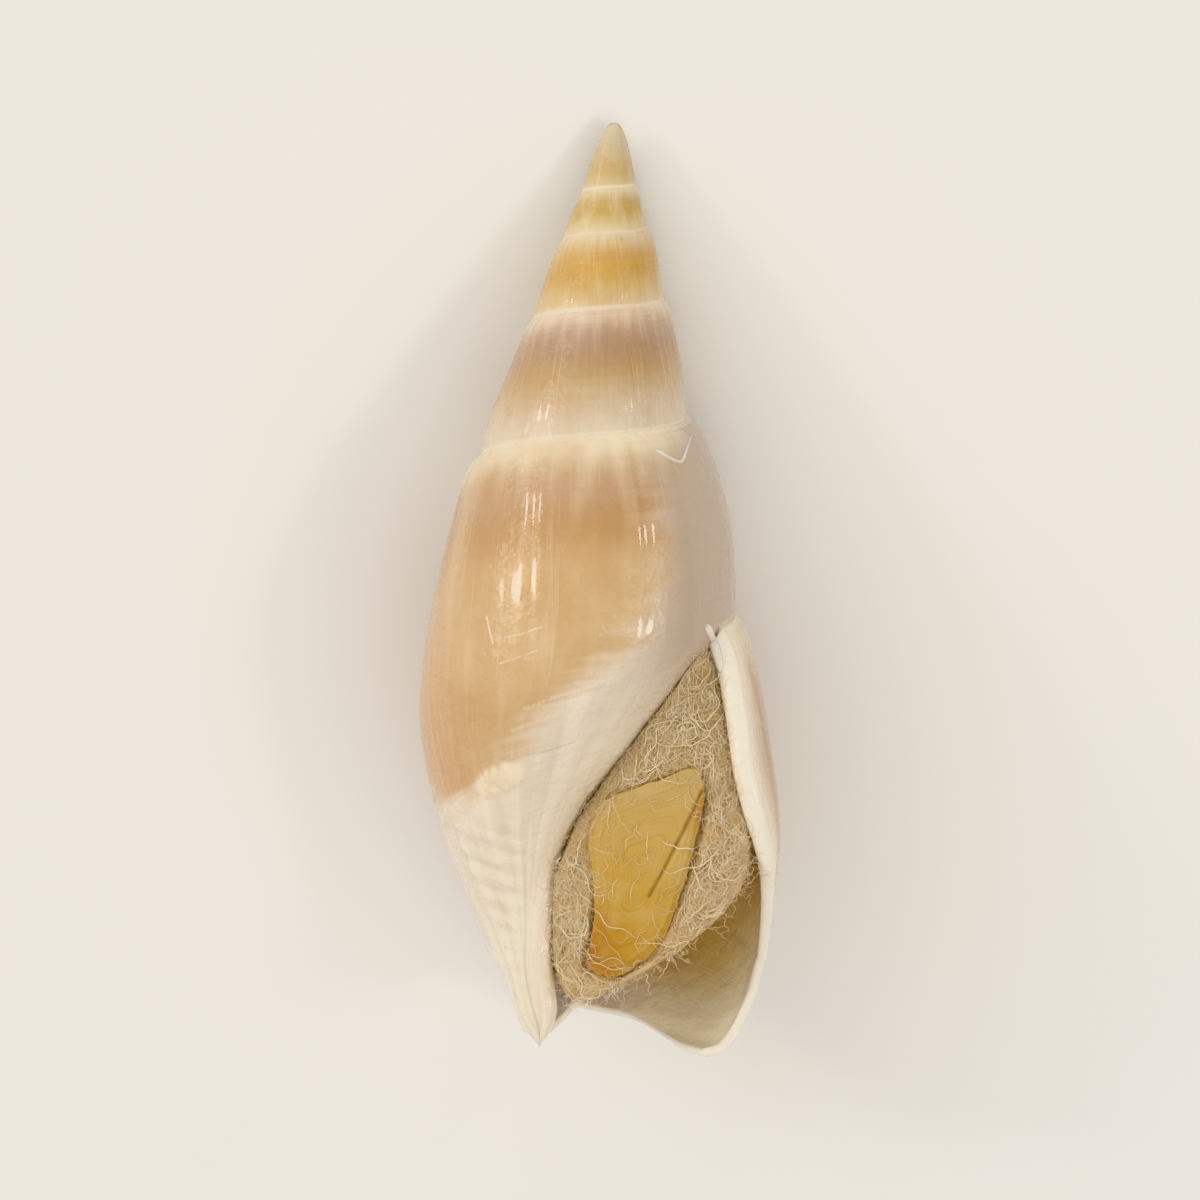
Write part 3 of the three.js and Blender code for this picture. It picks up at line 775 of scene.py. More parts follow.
# A node group. Its inputs are given with their first values, and build makes the outputs from them.
def newGroup(name, inputs, outputs, build):
    tree = bpy.data.node_groups.new(name, "ShaderNodeTree")
    for label, value in inputs.items():
        kind = "NodeSocketFloat" if isinstance(value, float) else "NodeSocketVector"
        tree.interface.new_socket(name=label, in_out="INPUT", socket_type=kind).default_value = value
    for label in outputs:
        tree.interface.new_socket(name=label, in_out="OUTPUT", socket_type="NodeSocketFloat")
    nodes = Nodes(tree)
    begin, end = tree.nodes.new("NodeGroupInput"), tree.nodes.new("NodeGroupOutput")
    results = build(nodes, *(Value(nodes, begin.outputs[label]) for label in inputs))
    for label, result in zip(outputs, results):
        nodes.feed(end.inputs[label], result)
    return tree


# fine lines that run one way across a surface, as growth leaves them, and broader bands of them
def buildLines(nodes, along, across, count, waver):
    along, across = along * count, across * waver
    fine = nodes.speckle(nodes.vector(along, across), 1.0, 4.0, 0.65)
    return fine, nodes.speckle(nodes.vector(along * 0.17, across, 4.0), 1.0, 2.0)


# soft cloudy patches, in the object's own place
def buildClouds(nodes, size, low, high):
    return [nodes.speckle(nodes.spot(), size, 4.0).step(low, high)]


# a thin straight mark between two places of the object
def buildMark(nodes, start, end, width):
    def vectors(operation, a, b, out="Vector"):
        return nodes.put("ShaderNodeVectorMath", {0: a, 1: b}, out=out, operation=operation)

    away, whole = vectors("SUBTRACT", nodes.spot(), start), vectors("SUBTRACT", end, start)
    share = nodes.math(
        "DIVIDE", vectors("DOT_PRODUCT", away, whole, "Value"), vectors("DOT_PRODUCT", whole, whole, "Value"),
        clamp=True,
    )
    foot = nodes.put("ShaderNodeVectorMath", {0: whole, "Scale": share}, operation="SCALE")
    return [(vectors("DISTANCE", away, foot, "Value") / width).step(1.0, 0.2)]


lineInputs = {"Along": 0.0, "Across": 0.0, "Count": 100.0, "Waver": 1.0}
linesOf = newGroup("growth lines", lineInputs, ("Lines", "Bands"), buildLines)
cloudsOf = newGroup("cloudy patches", {"Size": 400.0, "Low": 0.4, "High": 0.65}, ("Mask",), buildClouds)
markInputs = {"Start": (0, 0, 0), "End": (0, 0, 0), "Width": 0.0001}
marksOf = newGroup("thin mark", markInputs, ("Mask",), buildMark)


# A new material, its nodes and its shader's inputs. The finish has the inputs that are alike all over.
def newMaterial(name, paint, finish):
    material = bpy.data.materials.new(name)
    material.use_nodes = True
    skin = material.node_tree.nodes["Principled BSDF"].inputs
    for key, value in finish.items():
        skin[key].default_value = value
    return material, Nodes(material.node_tree, paint), skin


shellPaint = {
    # colours down the side of each whorl, from its suture to the next one
    "whorls": [
        [(0, (206, 200, 176)), (0.5, (204, 196, 168)), (0.68, (198, 178, 130)), (0.84, (196, 168, 108)),
         (0.96, (206, 188, 144)), (1, (212, 200, 164))],
        [(0, (214, 204, 172)), (0.12, (206, 192, 154)), (0.26, (196, 168, 106)), (0.45, (190, 158, 86)),
         (0.62, (196, 166, 98)), (0.8, (206, 184, 136)), (1, (218, 200, 164))],
        [(0, (218, 202, 172)), (0.1, (212, 190, 152)), (0.24, (202, 166, 98)), (0.42, (198, 156, 76)),
         (0.6, (200, 160, 84)), (0.78, (204, 174, 118)), (0.93, (210, 184, 138)), (1, (220, 202, 170))],
        [(0, (222, 206, 184)), (0.08, (212, 192, 166)), (0.17, (180, 150, 128)), (0.3, (168, 137, 112)),
         (0.44, (180, 146, 102)), (0.56, (188, 158, 112)), (0.7, (200, 178, 146)), (0.84, (208, 190, 166)),
         (1, (218, 204, 182))],
        [(0, (232, 218, 192)), (0.022, (226, 209, 178)), (0.042, (198, 172, 138)), (0.06, (188, 154, 118)),
         (0.09, (186, 151, 116)), (0.115, (183, 144, 95)), (0.15, (189, 150, 101)), (0.185, (203, 171, 126)),
         (0.3, (205, 174, 130)), (0.42, (202, 169, 123)), (0.6, (198, 165, 120))],
    ],
    "callus": (232, 220, 200),
    "callusShade": (204, 188, 166),
    "oldGlaze": (180, 160, 140),
    # painted shade, for the dark crease line and the troughs of the wrinkles
    "paintedShade": (128, 104, 84),
    # painted light, laid pale along the sutures
    "crease": (250, 238, 214),
    "rim": (234, 226, 210),
    "lipTan": (222, 190, 146),
    "cream": (236, 222, 192),
    "streak": (182, 138, 82),
    "pink": (198, 150, 104),
    "mauve": (168, 134, 116),
    "innerPale": (246, 236, 212),
    "innerGold": (240, 220, 166),
    "innerBrown": (216, 182, 106),
    "channel": (192, 184, 180),
    "roughness": 0.2,
}


shellFinish = {
    "Coat Weight": 0.6,
    "Coat Roughness": 0.06,
    "Subsurface Weight": 0.25,
    "Subsurface Radius": (1.0, 0.6, 0.35),
    "Subsurface Scale": 0.0012,
}


# the thin marks' paths on the shell, with two more points in each part
def placedMarks():
    tree = treeOf(shell)
    for path, width, strength in fineMarks.values():
        heights, places = (np.array(v, float) for v in zip(*path))
        at = np.linspace(0, len(path) - 1, 3 * len(path) - 2)
        spots = zip(*(np.interp(at, range(len(path)), v) for v in (places, heights)))
        line = [tuple(layDown(np.array(meet(tree, x, -height)))) for x, height in spots]
        yield width * pose["metre"], strength, line


def shellMaterial():
    p = shellPaint
    material, nodes, skin = newMaterial("glossy shell", p, shellFinish)
    turn, place, reach, growth, pleat, mark, rim, inner, depth = (nodes.read(name) for name in shellValues)
    lines, bands = nodes.use(linesOf, Along=growth, Across=place, Count=130.0, Waver=0.3)
    spiral = nodes.use(linesOf, Along=place, Across=turn, Count=14.0, Waver=3.0)[0]
    clouds = nodes.use(cloudsOf, Size=230.0, Low=0.42, High=0.68)[0]
    body = turn.step(-1.0, -0.9)

    # the colour bands, with ragged edges
    side = nodes.math("DIVIDE", place, 3.0, clamp=True)
    whole = nodes.math("DIVIDE", place, 10.0, clamp=True)
    ragged = nodes.speckle(nodes.vector(growth * 22.0, place)) - 0.5
    nodes.colour = nodes.ramp(ragged * 0.05 + side, p["whorls"][0])
    for k in range(1, 4):
        nodes.lay(turn.step(k - 5.05, k - 4.93), nodes.ramp(ragged * 0.16 + side, p["whorls"][k]))
    nodes.lay(turn.step(-1.05, -0.93), nodes.ramp(ragged * 0.035 + whole, p["whorls"][4]))

    # growth lines, spiral threads, clouds and pleats
    nodes.lay(bands.step(0.5, 0.75) * 0.25, "cream")
    nodes.lay(lines.step(0.54, 0.74) * 0.2, "cream")
    nodes.lay(spiral.step(0.52, 0.7) * side.step(0.75, 0.4) * mix(0.45, 0.14, body), "mauve")
    nodes.lay(clouds * 0.3, "streak")
    left = turn.step(-0.68, -0.5) * place.step(1.0, 2.5) * turn.step(-0.15, -0.4)
    nodes.lay(left * 0.55, "pink")
    nodes.lay(pleat * mix(0.3, 0.42, body), "cream")

    # the white callus, streaked and feathered at its edge, with the old glaze on the right
    feather = nodes.speckle(nodes.vector(place * 4.0, turn * 3.0)) - 0.5
    feather = ragged * 2.0 + feather * mix(1.0, 3.6, turn.step(-0.9, -0.72))
    glaze = nodes.blend(0.5, nodes.blend(bands.step(0.35, 0.7), "callus", "callusShade"), "callus")
    glaze = nodes.blend(turn.step(-0.78, -0.88) * place.step(5.4, 3.0) * 0.9, glaze, "oldGlaze")
    nodes.lay((reach + feather).step(-1.7, 1.5), glaze)

    # painted light: the sutures are painted pale, for the light that gathers in the shell there and lifts the
    # shade in their grooves
    lower = side.step(0.965, 1.0) * turn.step(-0.9, -0.95)
    nodes.lay(nodes.math("MAXIMUM", place.step(0.08, 0.0), lower) * 0.5, "crease")

    # marks: the pale ones are the shell's own scratch and streaks, and painted highlights on two thin lines;
    # the dark crease is painted shade
    for width, strength, line in placedMarks():
        mask = 0.0
        for a, b in zip(line, line[1:]):
            mask = nodes.math("MAXIMUM", nodes.use(marksOf, Start=a, End=b, Width=width)[0], mask)
        nodes.lay(mask * abs(strength) * lines.step(0.3, 0.55), "rim" if strength > 0 else "paintedShade")
    nodes.lay(nodes.math("MAXIMUM", mark, 0.0), "cream")
    # painted shade: darker in the troughs of the wrinkles
    nodes.lay(nodes.math("MULTIPLY", mark, -0.45, clamp=True), "paintedShade")

    # the inside, brown at the back and pale towards the front, and the edge of the lip
    within = nodes.blend(depth.step(0.01, 0.1), "innerPale", "innerGold")
    within = nodes.blend(depth.step(0.08, 0.22), within, "innerBrown")
    within = nodes.blend(place.step(4.4, 7.6), within, "innerPale")
    within = nodes.blend(depth.step(0.12, 0.26) * place.step(5.6, 7.8), within, "channel")
    nodes.lay(inner, within)
    stripes = nodes.use(linesOf, Along=growth, Across=place, Count=420.0, Waver=0.05)[0]
    tan = stripes.step(0.46, 0.62) * inner.step(0.5, 0.0)
    nodes.lay(rim, nodes.blend(tan * 0.6, "rim", "lipTan"))

    nodes.feed(skin["Base Color"], nodes.colour)
    nodes.feed(skin["Roughness"], lines * 0.12 + p["roughness"])
    spot = nodes.spot()
    grain = nodes.speckle(spot, 2600.0) * 1.8 + nodes.speckle(spot, 1100.0, 2.0) * 5.0
    nodes.bump(skin, lines * 0.8 + spiral * 0.9 + grain, 0.45, 0.00006)
    return material


print("shell: making the form")
shellBody = makeShell()
shell = shellBody.make("shellForm", lambda points: layDown(points, wear=True))
shell.data.materials.append(shellMaterial())
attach(shell, "root")
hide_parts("shell")
print("shell:", len(shell.data.vertices), "points")


# The operculum, a thin horny plate. Its outline is given as height and x, clockwise from its upper left.
lid = {
    "outline": (
        (36.56, 2.02), (35.4, 4.3), (34.5, 6.47), (34.9, 7.15), (35.9, 7.3), (37.8, 7.1), (39.47, 6.8),
        (41.6, 6.35), (43.61, 5.7), (45.1, 4.6), (45.9, 3.4), (46, 2.4), (45.5, 1.7), (44.4, 1.7),
        (42.6, 1.9), (40.6, 1.6), (38.8, 1.3), (37.4, 1.5),
    ),
    "centre": (40.2, 4.3),
    "level": 3.3,
    "tilt": (0.2, -0.17),      # across and down
    "bend": (-0.02, -0.012),
    "thickness": 0.4,
    # the line where its right edge folds over
    "fold": ((35.65, 7.15), (37.4, 6.5), (39.2, 5.75), (41.5, 4.75)),
    "foldDepth": 0.13,
    "foldWidth": 0.1,
    "flapLift": 0.1,           # of the strip beyond the fold
    "growthLift": 0.008,
    "buckle": 0.07,            # broad waves across the plate
    "edgeDrop": 0.16,
    "columns": 180,
    "rings": 40,
}


# the level of the plate's underside
def lidUnder(x, height):
    across, down = x - lid["centre"][1], height - lid["centre"][0]
    tilt, bend = lid["tilt"], lid["bend"]
    return lid["level"] + tilt[0] * across + tilt[1] * down + bend[0] * across ** 2 + bend[1] * down ** 2


def closedCurve(points, number):
    points = np.array(points, float)
    place = np.arange(number) * len(points) / number
    i = np.floor(place).astype(int)
    near = [points[(i + k) % len(points)] for k in (-1, 0, 1, 2)]
    return curve(*near, (place - i)[:, None])


# how far a place is outside the plate's outline
def lidOutside(x, height):
    rim = closedCurve(lid["outline"], 72)
    away = np.hypot(height[..., None] - rim[:, 0], x[..., None] - rim[:, 1]).min(axis=-1)
    after = np.roll(rim, -1, axis=0)
    crosses = (rim[:, 0] > height[..., None]) != (after[:, 0] > height[..., None])
    level = (height[..., None] - rim[:, 0]) / (after[:, 0] - rim[:, 0] + 1e-9)
    inside = (crosses & (x[..., None] < mix(rim[:, 1], after[:, 1], level))).sum(axis=-1) % 2 == 1
    return np.where(inside, 0, away)


lidValues = ("ring", "down", "flap", "across", "fold")


def makeLid():
    skin = Body(*lidValues)
    rim = closedCurve(lid["outline"], lid["columns"])
    centre = np.array(lid["centre"])
    share = (np.arange(1, lid["rings"] + 1) / lid["rings"])[:, None]
    angle = np.arange(lid["columns"]) * 2 * np.pi / lid["columns"]
    wobble = np.sin(9 * angle + 1) + np.sin(23 * angle) * 0.7 + np.sin(41 * angle) * 0.5
    wobble = 1 + 0.012 * share ** 4 * wobble
    place = centre + (rim[None] - centre) * (share * np.minimum(wobble, 1.01))[..., None]
    height, x = place[..., 0], place[..., 1]
    fold = lineDistance(x, height, lid["fold"])
    foldHeights, foldX = zip(*lid["fold"])
    right = x - np.interp(height, foldHeights, foldX)
    reach = smooth((foldHeights[-1] - height) / 2)
    flap = smooth(right / 0.25 + 0.5) * reach
    lift = -lid["foldDepth"] * np.exp(-(fold / lid["foldWidth"]) ** 2)
    lift = lift + lid["flapLift"] * flap * np.exp(-np.abs(right - 0.3) / 0.6)
    growth = np.sin(share * 52 + 0.8 * np.sin(3 * angle)) + 0.6 * np.sin(share * 97)
    lift = lift + lid["growthLift"] * growth
    lift = lift + lid["buckle"] * np.sin(2 * x + 0.7 * height) * share ** 2
    lift = lift - lid["edgeDrop"] * smooth((share - 0.86) / 0.14)
    lift = lift + 0.05 * np.sin(1.3 * height - 1.1 * x)
    sides = []
    for side, extra in ((1, lift), (0, 0 * lift)):
        level = lidUnder(x, height) + side * lid["thickness"] + extra
        index = skin.add(np.stack([x, -height, level], axis=-1), ring=share, flap=flap,
                         down=(height - 34.5) / 11.5, across=(x - 1.3) / 6, fold=np.exp(-(fold / 0.075) ** 2))
        top = lidUnder(centre[1], centre[0]) + side * lid["thickness"]
        middle = skin.add(np.array([[centre[1], -centre[0], top]]), down=0.5, across=0.5)[0]
        whole = np.concatenate([np.full((1, lid["columns"]), middle), index])
        sides.append(np.concatenate([whole, whole[:, :1]], axis=1))
    top, under = sides
    skin.sheet(top, flip=True)
    skin.sheet(under)
    skin.join(top[-1, :-1], top[-1, 1:], under[-1, 1:], under[-1, :-1])
    return skin


hornPaint = {
    "down": [(0, (184, 158, 102)), (0.35, (190, 156, 82)), (0.7, (188, 148, 62)), (1, (180, 136, 44))],
    "deep": (168, 106, 14),
    "pale": (196, 172, 116),
    # also laid along the fold as painted shade
    "line": (128, 92, 28),
}


hornFinish = {"Subsurface Weight": 0.2, "Subsurface Radius": (1.0, 0.55, 0.15), "Subsurface Scale": 0.0006}


def hornMaterial():
    material, nodes, skin = newMaterial("horny plate", hornPaint, hornFinish)
    ring, down, flap, across, fold = (nodes.read(name) for name in lidValues)
    lines = nodes.use(linesOf, Along=ring, Across=down, Count=34.0, Waver=2.0)[0]
    clouds = nodes.use(cloudsOf, Size=700.0, Low=0.4, High=0.7)[0]
    nodes.colour = nodes.ramp(down, hornPaint["down"])
    nodes.lay(down.step(0.55, 1.0) * across.step(0.55, 0.0), "deep")
    nodes.lay(lines.step(0.5, 0.7) * 0.35, "line")
    nodes.lay(clouds * 0.35, "pale")
    nodes.lay(flap * down.step(0.34, 0.12) * 0.7, "deep")
    nodes.lay(flap * down.step(0.3, 0.6, 0.35), "pale")
    # painted shade: the groove of the fold is darkened
    nodes.lay(fold * 0.75, "line")
    nodes.feed(skin["Base Color"], nodes.colour)
    nodes.feed(skin["Roughness"], lines * 0.25 + 0.3)
    nodes.bump(skin, lines, 0.5, 0.00006)
    return material


lidBody = makeLid()
operculum = lidBody.make("operculumPlate", layDown)
operculum.data.materials.append(hornMaterial())
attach(operculum, "root")
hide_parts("operculum")
print("operculum:", len(operculum.data.vertices), "points")


# The cotton is packed along the hollow, with a domed end in the mouth.
wad = {
    "gap": 0.04,
    "deepTurn": -0.3,
    "mouthTurn": 0.055,
    "backShare": 0.02,
    "frontShare": 1,
    "lipShare": 0.6,
    "bulge": 1.1,
    "climb": 0.055,            # how much further it reaches beside the columella, in turns
    "climbEnd": 0.9,           # but not at its front
    "lidGap": 0.12,            # less than in the solid, as the cotton is soft there
    "rise": 0.85,              # how far it rises round the plate
    "riseWidth": 1.0,
    "columns": 144,
    "rows": 44,
    "squareness": 0.38,        # 1 gives it an oval section
    "fluff": 0.2,
}


# a point of the hollow, by turn, share of the way down and depth from the earlier whorl to the wall
def hollowPoint(turn, share, depth):
    inner = innerWhorl(turn, share)
    outer = wallInside(turn, rowPlace(turn, share * grid["rows"]))
    gap = wad["gap"] / np.hypot(outer[0] - inner[0], outer[1] - inner[1])
    d = mix(gap, 1 - gap, depth)
    return toPoint(turn, mix(inner[0], outer[0], d), mix(inner[1], outer[1], d))


def makeWad():
    skin = Body("mouth")
    count = wad["rows"]
    u = (np.arange(-count, 2 * count + 1) / count)[:, None]
    angle = np.arange(wad["columns"])[None] * 2 * np.pi / wad["columns"]
    u, angle = np.broadcast_arrays(u, angle)
    side = np.clip(u, 0, 1)
    spread = np.where(u < 0, 1 + u, np.where(u > 1, 2 - u, 1))

    def blunt(x):
        return np.sign(x) * np.abs(x) ** wad["squareness"]

    depth = 0.5 + 0.5 * spread * blunt(np.cos(angle))
    low = mix(wad["frontShare"], wad["lipShare"], depth)
    share = mix(wad["backShare"], low, 0.5 + 0.5 * spread * blunt(np.sin(angle)))
    mouth = wad["mouthTurn"] + wad["climb"] * (1 - depth) ** 2 * smooth((wad["climbEnd"] - share) / 0.4)
    point = hollowPoint(mix(wad["deepTurn"], mouth, side), share, depth)
    dome = np.where(u > 1, wad["bulge"] * np.sqrt(np.maximum(0, 1 - spread ** 2)), 0)
    ceiling = lidUnder(point[..., 0], -point[..., 1]) - wad["lidGap"]
    ceiling += wad["rise"] * smooth(lidOutside(point[..., 0], -point[..., 1]) / wad["riseWidth"])
    point[..., 2] = np.where(u > 1, np.minimum(point[..., 2] + dome, ceiling), point[..., 2])
    lumps = np.array([
        noise.fractal(Vector(p) * 1.1, 0.8, 2.1, 4) for p in point.reshape(-1, 3).tolist()
    ]).reshape(u.shape)
    point[..., 2] += wad["fluff"] * lumps
    index = skin.add(point, mouth=smooth(u - 0.8))
    index[0] = index[0, 0]
    index[-1] = index[-1, 0]
    index = np.concatenate([index, index[:, :1]], axis=1)
    skin.sheet(index)
    return skin


fibrePaint = {"pale": (255, 246, 220), "tan": (230, 198, 140), "shadow": (206, 170, 112)}


cottonFinish = {"Roughness": 0.8, "Sheen Weight": 0.25, "Sheen Roughness": 0.4}


def cottonMaterial(name, fine):
    material, nodes, skin = newMaterial(name, fibrePaint, cottonFinish)
    clouds = nodes.use(cloudsOf, Size=900.0, Low=0.35, High=0.65)[0]
    if fine:
        nodes.colour = nodes.blend(nodes.read("tint"), "pale", "tan")
        nodes.lay(clouds * 0.3, "tan")
    else:
        nodes.colour = nodes.blend(clouds, "shadow", "tan")
        nodes.bump(skin, nodes.speckle(nodes.spot(), 6000.0, 5.0, 0.7), 0.9, 0.0002)
    nodes.feed(skin["Base Color"], nodes.colour)
    return material


wadBody = makeWad()
cotton = wadBody.make("cottonWad", layDown)
cotton.data.materials.append(cottonMaterial("packed cotton", fine=False))
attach(cotton, "root")
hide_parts("cotton_wad")
print("cotton:", len(cotton.data.vertices), "points")


# Curly fibres on the wad and over the operculum. Each is a thin tube that follows what lies under it.
fibres = {
    "seed": 11,
    "heading": (-118, 45),         # degrees in the picture, and how much it varies
    "mat": {"number": 2700, "steps": 12, "curl": 0.9,
            "length": (0.9, 3.0), "radius": (0.008, 0.018), "lift": (0.0, 0.14)},
    "strands": {"number": 520, "steps": 24, "curl": 0.75,
                "length": (1.6, 5.0), "radius": (0.015, 0.034), "lift": (0.03, 0.34)},
    "loose": {"number": 52, "steps": 18, "curl": 0.55,
              "length": (0.8, 2.2), "radius": (0.009, 0.019), "lift": (0.01, 0.1)},
    "hanging": {"number": 480, "steps": 20, "curl": 1.6, "droop": 0.7,
                "length": (0.6, 2.0), "radius": (0.009, 0.023), "lift": (0.0, 0.12)},
    "border": {"number": 420, "steps": 16, "curl": 0.9,
               "length": (0.7, 2.2), "radius": (0.01, 0.024), "lift": (0.02, 0.16)},
    "plateShare": 0.1,             # how many of the wad's fibres may cross the plate
    "plateLap": (0.3, 0.1),        # how much of a fibre may lie on it at its left edge, and elsewhere
    "plateLeft": 2.6,              # the left edge is left of this
    "borderWidth": 0.6,            # mm from the shell in which border and hanging fibres start
    "loosePlace": (4.2, -41.5),    # most loose ones start left of and above this place
    "shellSteps": (8, 2),          # steps that a border fibre, or another, may lie on the shell
    "steepest": 3.5,               # mm, how far a fibre may go up or down
}


under = {"cotton": treeOf(cotton), "lid": treeOf(operculum), "shell": treeOf(shell)}


# A healed scar near the suture and a knob by the lip's end, raised on the shell. Points are height, x and
# radius.
raised = {
    "healedScar": ((17.6, 3.4, 0.05), (17.71, 3.7, 0.15), (17.92, 4.1, 0.09), (18.12, 4.72, 0.1),
                   (17.9, 4.93, 0.1), (17.4, 5.06, 0.08), (16.57, 5.3, 0.04)),
    "lipKnob": ((26.75, 6.74, 0.2), (26.97, 6.86, 0.26), (27.3, 7.05, 0.24), (27.8, 7.3, 0.3),
                (28.4, 7.55, 0.3), (29.2, 7.75, 0.2)),
    "sink": 0.3,                   # how much of the radius is under the surface
    "sides": 10,
}


def makeRaised(name):
    skin = Body(*shellValues)
    points = np.array(raised[name])
    where = np.linspace(0, len(points) - 1.001, 8 * len(points))
    i = np.floor(where).astype(int)
    near = [points[np.clip(i + k, 0, len(points) - 1)] for k in (-1, 0, 1, 2)]
    line = curve(*near, (where - i)[:, None])
    along = np.linspace(-1, 1, len(line))
    radius = line[:, 2] * np.sqrt(1 - 0.9995 * along ** 12)
    level = [meet(under["shell"], x, -height).z for height, x in line[:, :2]]
    level = np.convolve(np.pad(level, 2, mode="edge"), np.full(5, 0.2), "valid")
    path = np.stack([line[:, 1], -line[:, 0], level - raised["sink"] * radius], axis=-1)
    ahead = unit(np.gradient(path, axis=0))
    across = unit(np.cross(ahead, np.array([0.0, 0.0, 1.0])))
    up = np.cross(across, ahead)
    angle = np.arange(raised["sides"] + 1)[:, None, None] * 2 * np.pi / raised["sides"]
    rings = path + radius[:, None] * (np.cos(angle) * across + np.sin(angle) * up)
    index = skin.add(rings, turn=-0.9, place=4, reach=4, rim=0.7)
    index[-1] = index[0]
    skin.sheet(index)
    piece = skin.make(name, layDown)
    piece.data.materials.append(shell.data.materials[0])
    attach(piece, "root")


makeRaised("healedScar")
makeRaised("lipKnob")


# what a fibre meets when it comes down at a place: its level and which piece
def topAt(x, y):
    best, which = -50.0, None
    for name, tree in under.items():
        hit = meet(tree, x, y)
        if hit is not None and hit.z > best:
            best, which = hit.z, name
    return best, which


def fibrePaths(kind, starts, rng):
    k = fibres[kind]
    steps = k["steps"]
    share = np.linspace(0, 1, steps)
    paths, radii, tints = [], [], []
    for x, y, heading in starts:
        length = rng.uniform(*k["length"])
        bend = rng.normal(0, k["curl"]) * 4 / steps
        swing = rng.uniform(8, 34) / steps
        phase = rng.uniform(0, 6.28)
        line, over, plate = [], 0, 0
        for s in range(steps):
            level, which = topAt(x, y)
            over += which == "shell"
            plate += which == "lid"
            line.append((x, y, level))
            heading += bend + k["curl"] * 9 / steps * math.sin(phase + swing * s)
            x += math.cos(heading) * length / steps
            y += math.sin(heading) * length / steps
        line = np.array(line)
        lift = rng.uniform(*k["lift"]) * np.sin(np.pi * share) ** 0.7
        if "droop" in k:
            line[:, 2] = np.maximum(line[:, 2] + 0.02, line[0, 2] + 0.02 - k["droop"] * share ** 2 + lift)
        elif over > fibres["shellSteps"][kind != "border"] or np.ptp(line[:, 2]) > fibres["steepest"]:
            continue
        elif kind != "loose" and rng.uniform() > fibres["plateShare"] and (
                plate > steps * fibres["plateLap"][int(line[0, 0] >= fibres["plateLeft"])]):
            continue
        else:
            level = line[:, 2].copy()
            for _ in range(2):
                padded = np.pad(level, 1, mode="edge")
                level = np.maximum(level, np.convolve(padded, (0.25, 0.5, 0.25), "valid"))
            line[:, 2] = level + 0.015 + lift
        paths.append(line)
        radii.append(rng.uniform(*k["radius"]) * (0.35 + 0.65 * np.sin(np.pi * np.clip(share, 0.06, 0.94))))
        tints.append(rng.uniform(0, 1) ** 1.5)
    return np.array(paths), np.array(radii), np.array(tints)


def makeFibres(paths, radii, tints):
    skin = Body("tint")
    ahead = unit(np.gradient(paths, axis=1))
    across = unit(np.cross(ahead, np.array([0.0, 0.0, 1.0])))
    up = np.cross(across, ahead)
    rings = []
    for k in range(3):
        angle = 2 * np.pi * k / 3 + np.pi / 2
        side = math.cos(angle) * across + math.sin(angle) * up
        rings.append(skin.add(paths + side * radii[..., None], tint=tints[:, None]))
    for k in range(3):
        a, b = rings[k], rings[(k + 1) % 3]
        skin.join(a[:, :-1], a[:, 1:], b[:, 1:], b[:, :-1])
    skin.join(rings[0][:, 0], rings[1][:, 0], rings[2][:, 0], rings[0][:, 0])
    skin.join(rings[0][:, -1], rings[2][:, -1], rings[1][:, -1], rings[0][:, -1])
    return skin


# places where fibres start, and the way each sets out
def fibreStarts(rng):
    mouth = inShellFrame(cotton)
    low, high = mouth[:, :2].min(axis=0), mouth[:, :2].max(axis=0)
    starts = {kind: [] for kind in ("mat", "strands", "loose", "hanging", "border")}
    while any(len(found) < fibres[kind]["number"] for kind, found in starts.items()):
        x, y = rng.uniform(low - 0.3, high + 0.3)
        level, which = topAt(x, y)
        heading = math.radians(rng.normal(*fibres["heading"]))
        kinds = []
        if which == "cotton":
            kinds = ["mat", "strands"]
            away = rng.uniform(0, 2 * math.pi)
            width = fibres["borderWidth"]
            beyond, other = topAt(x + width * math.cos(away), y + width * math.sin(away))
            if other == "shell" and beyond < level + 0.3:
                if len(starts["hanging"]) < fibres["hanging"]["number"]:
                    starts["hanging"].append((x, y, away + rng.normal(0, 1.0)))
            elif other == "shell" and len(starts["border"]) < fibres["border"]["number"]:
                starts["border"].append((x, y, away + rng.choice((-1, 1)) * rng.normal(1.35, 0.3)))
        elif which == "lid" and rng.uniform() < 0.15 + 0.85 * (x < fibres["loosePlace"][0]) * (
                y > fibres["loosePlace"][1]):
            kinds = ["loose"]
        for kind in kinds:
            if len(starts[kind]) < fibres[kind]["number"]:
                starts[kind].append((x, y, heading))
    return starts


def scatterFibres():
    rng = np.random.default_rng(fibres["seed"])
    for kind, found in fibreStarts(rng).items():
        name = kind + "Fibres"
        skin = makeFibres(*fibrePaths(kind, found, rng))
        piece = skin.make(name, layDown)
        piece.data.materials.append(cottonMaterial(name + " fluff", fine=True))
        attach(piece, "root")
        print(name + ":", len(piece.data.polygons), "faces")


scatterFibres()


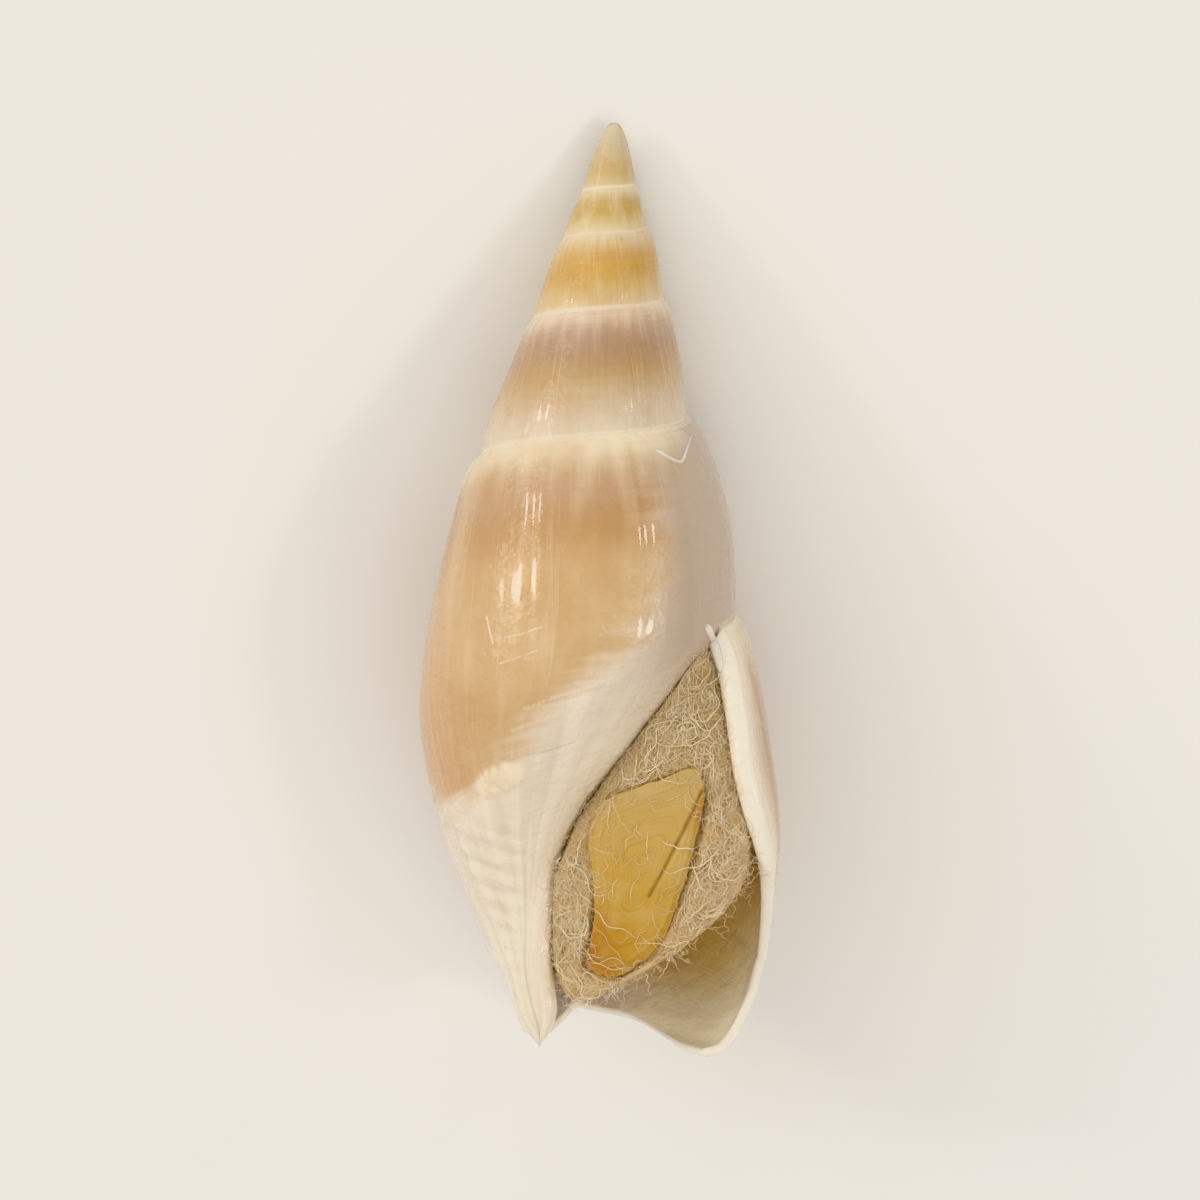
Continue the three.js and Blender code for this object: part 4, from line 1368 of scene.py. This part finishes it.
# Floor, lights and camera.
studio = {
    "frameWidth": 64.8,            # mm, what the picture is wide
    "frameCentre": (0.993, -25.8, 0.0),
    "distance": 600,
    "sensor": 36,
    "clip": (0.01, 10),            # m
    "floorPaint": {"pale": (232, 230, 226), "grey": (218, 218, 218)},
    "floorSize": 3,                # m
    "worldColour": (1.0, 0.97, 0.93),
    "worldStrength": 0.62,
    "worldShade": 0.35,            # how much darker the room is on the right than on the left
    "widePanel": 500,
    # where each light is seen from the shell, in its own frame; its size and distance in mm, its power and
    # its colour. The wide ones are too soft to be mirrored.
    "lights": {
        "leftGlint": ((-0.835, 0.13, 0.53), 85, 520, 0.4, (1.0, 0.95, 0.86)),
        "leftSpireGlint": ((-0.77, 0.38, 0.5), 55, 520, 0.17, (1.0, 0.95, 0.86)),
        "rightGlint": ((0.66, -0.1, 0.75), 90, 520, 0.34, (1.0, 0.96, 0.88)),
        "rightSpireGlint": ((0.68, 0.36, 0.65), 50, 520, 0.11, (1.0, 0.96, 0.88)),
        "skyPanel": ((-0.5, 0.55, 0.8), 1400, 1200, 5.0, (1.0, 0.97, 0.92)),
        "frontPanel": ((0.45, -0.5, 0.75), 1300, 1200, 4.5, (1.0, 0.97, 0.93)),
    },
}


def floorMaterial():
    material, nodes, skin = newMaterial("pale floor", studio["floorPaint"], {"Roughness": 0.85})
    clouds = nodes.use(cloudsOf, Size=3.0, Low=0.2, High=0.8)[0]
    nodes.feed(skin["Base Color"], nodes.blend(clouds * 0.04, "pale", "grey"))
    return material


def makeFloor():
    mesh = bpy.data.meshes.new("floor")
    half = studio["floorSize"] / 2
    corners = [(-half, -half, 0), (half, -half, 0), (half, half, 0), (-half, half, 0)]
    mesh.from_pydata(corners, [], [(0, 1, 2, 3)])
    floor = addToScene("floor", mesh)
    floor.data.materials.append(floorMaterial())


# how the shell's frame is turned on the ground, and the place that the camera looks at
pitch = Matrix.Rotation(math.radians(pose["pitch"]), 3, "X")
centre = Vector(layDown(np.array(studio["frameCentre"])))


def makeLights():
    for name, (direction, size, distance, power, colour) in studio["lights"].items():
        light = bpy.data.lights.new(name, "AREA")
        light.shape = "DISK"
        light.size = size * pose["metre"]
        light.energy = power
        light.color = colour
        lamp = addToScene(name, light)
        away = pitch @ Vector(direction).normalized()
        lamp.location = centre + away * distance * pose["metre"]
        lamp.rotation_euler = away.to_track_quat("Z", "Y").to_euler()
        lamp.visible_glossy = size < studio["widePanel"]


def makeWorld():
    world = bpy.data.worlds.new("studio")
    world.use_nodes = True
    nodes = Nodes(world.node_tree)
    sky = world.node_tree.nodes["Background"].inputs
    sky["Color"].default_value = (*studio["worldColour"], 1)
    across = nodes.put("ShaderNodeSeparateXYZ", {0: nodes.put("ShaderNodeTexCoord")})
    nodes.feed(sky["Strength"], (across * -studio["worldShade"] + 1.0) * studio["worldStrength"])
    bpy.context.scene.world = world


def makeCamera():
    camera = bpy.data.cameras.new("camera")
    camera.sensor_width = studio["sensor"]
    camera.lens = studio["sensor"] * studio["distance"] / studio["frameWidth"]
    camera.clip_start, camera.clip_end = studio["clip"]
    eye = addToScene("camera", camera)
    lean = math.radians(pose["photoTurn"])
    right = pitch @ Vector((math.cos(lean), math.sin(lean), 0))
    up = pitch @ Vector((-math.sin(lean), math.cos(lean), 0))
    back = pitch @ Vector((0, 0, 1))
    turned = Matrix((right, up, back)).transposed().to_4x4()
    turned.translation = centre + back * studio["distance"] * pose["metre"]
    eye.matrix_world = turned
    bpy.context.scene.camera = eye


makeFloor()
makeLights()
makeWorld()
makeCamera()
bpy.context.scene.view_settings.view_transform = "Khronos PBR Neutral"
print("studio ready")
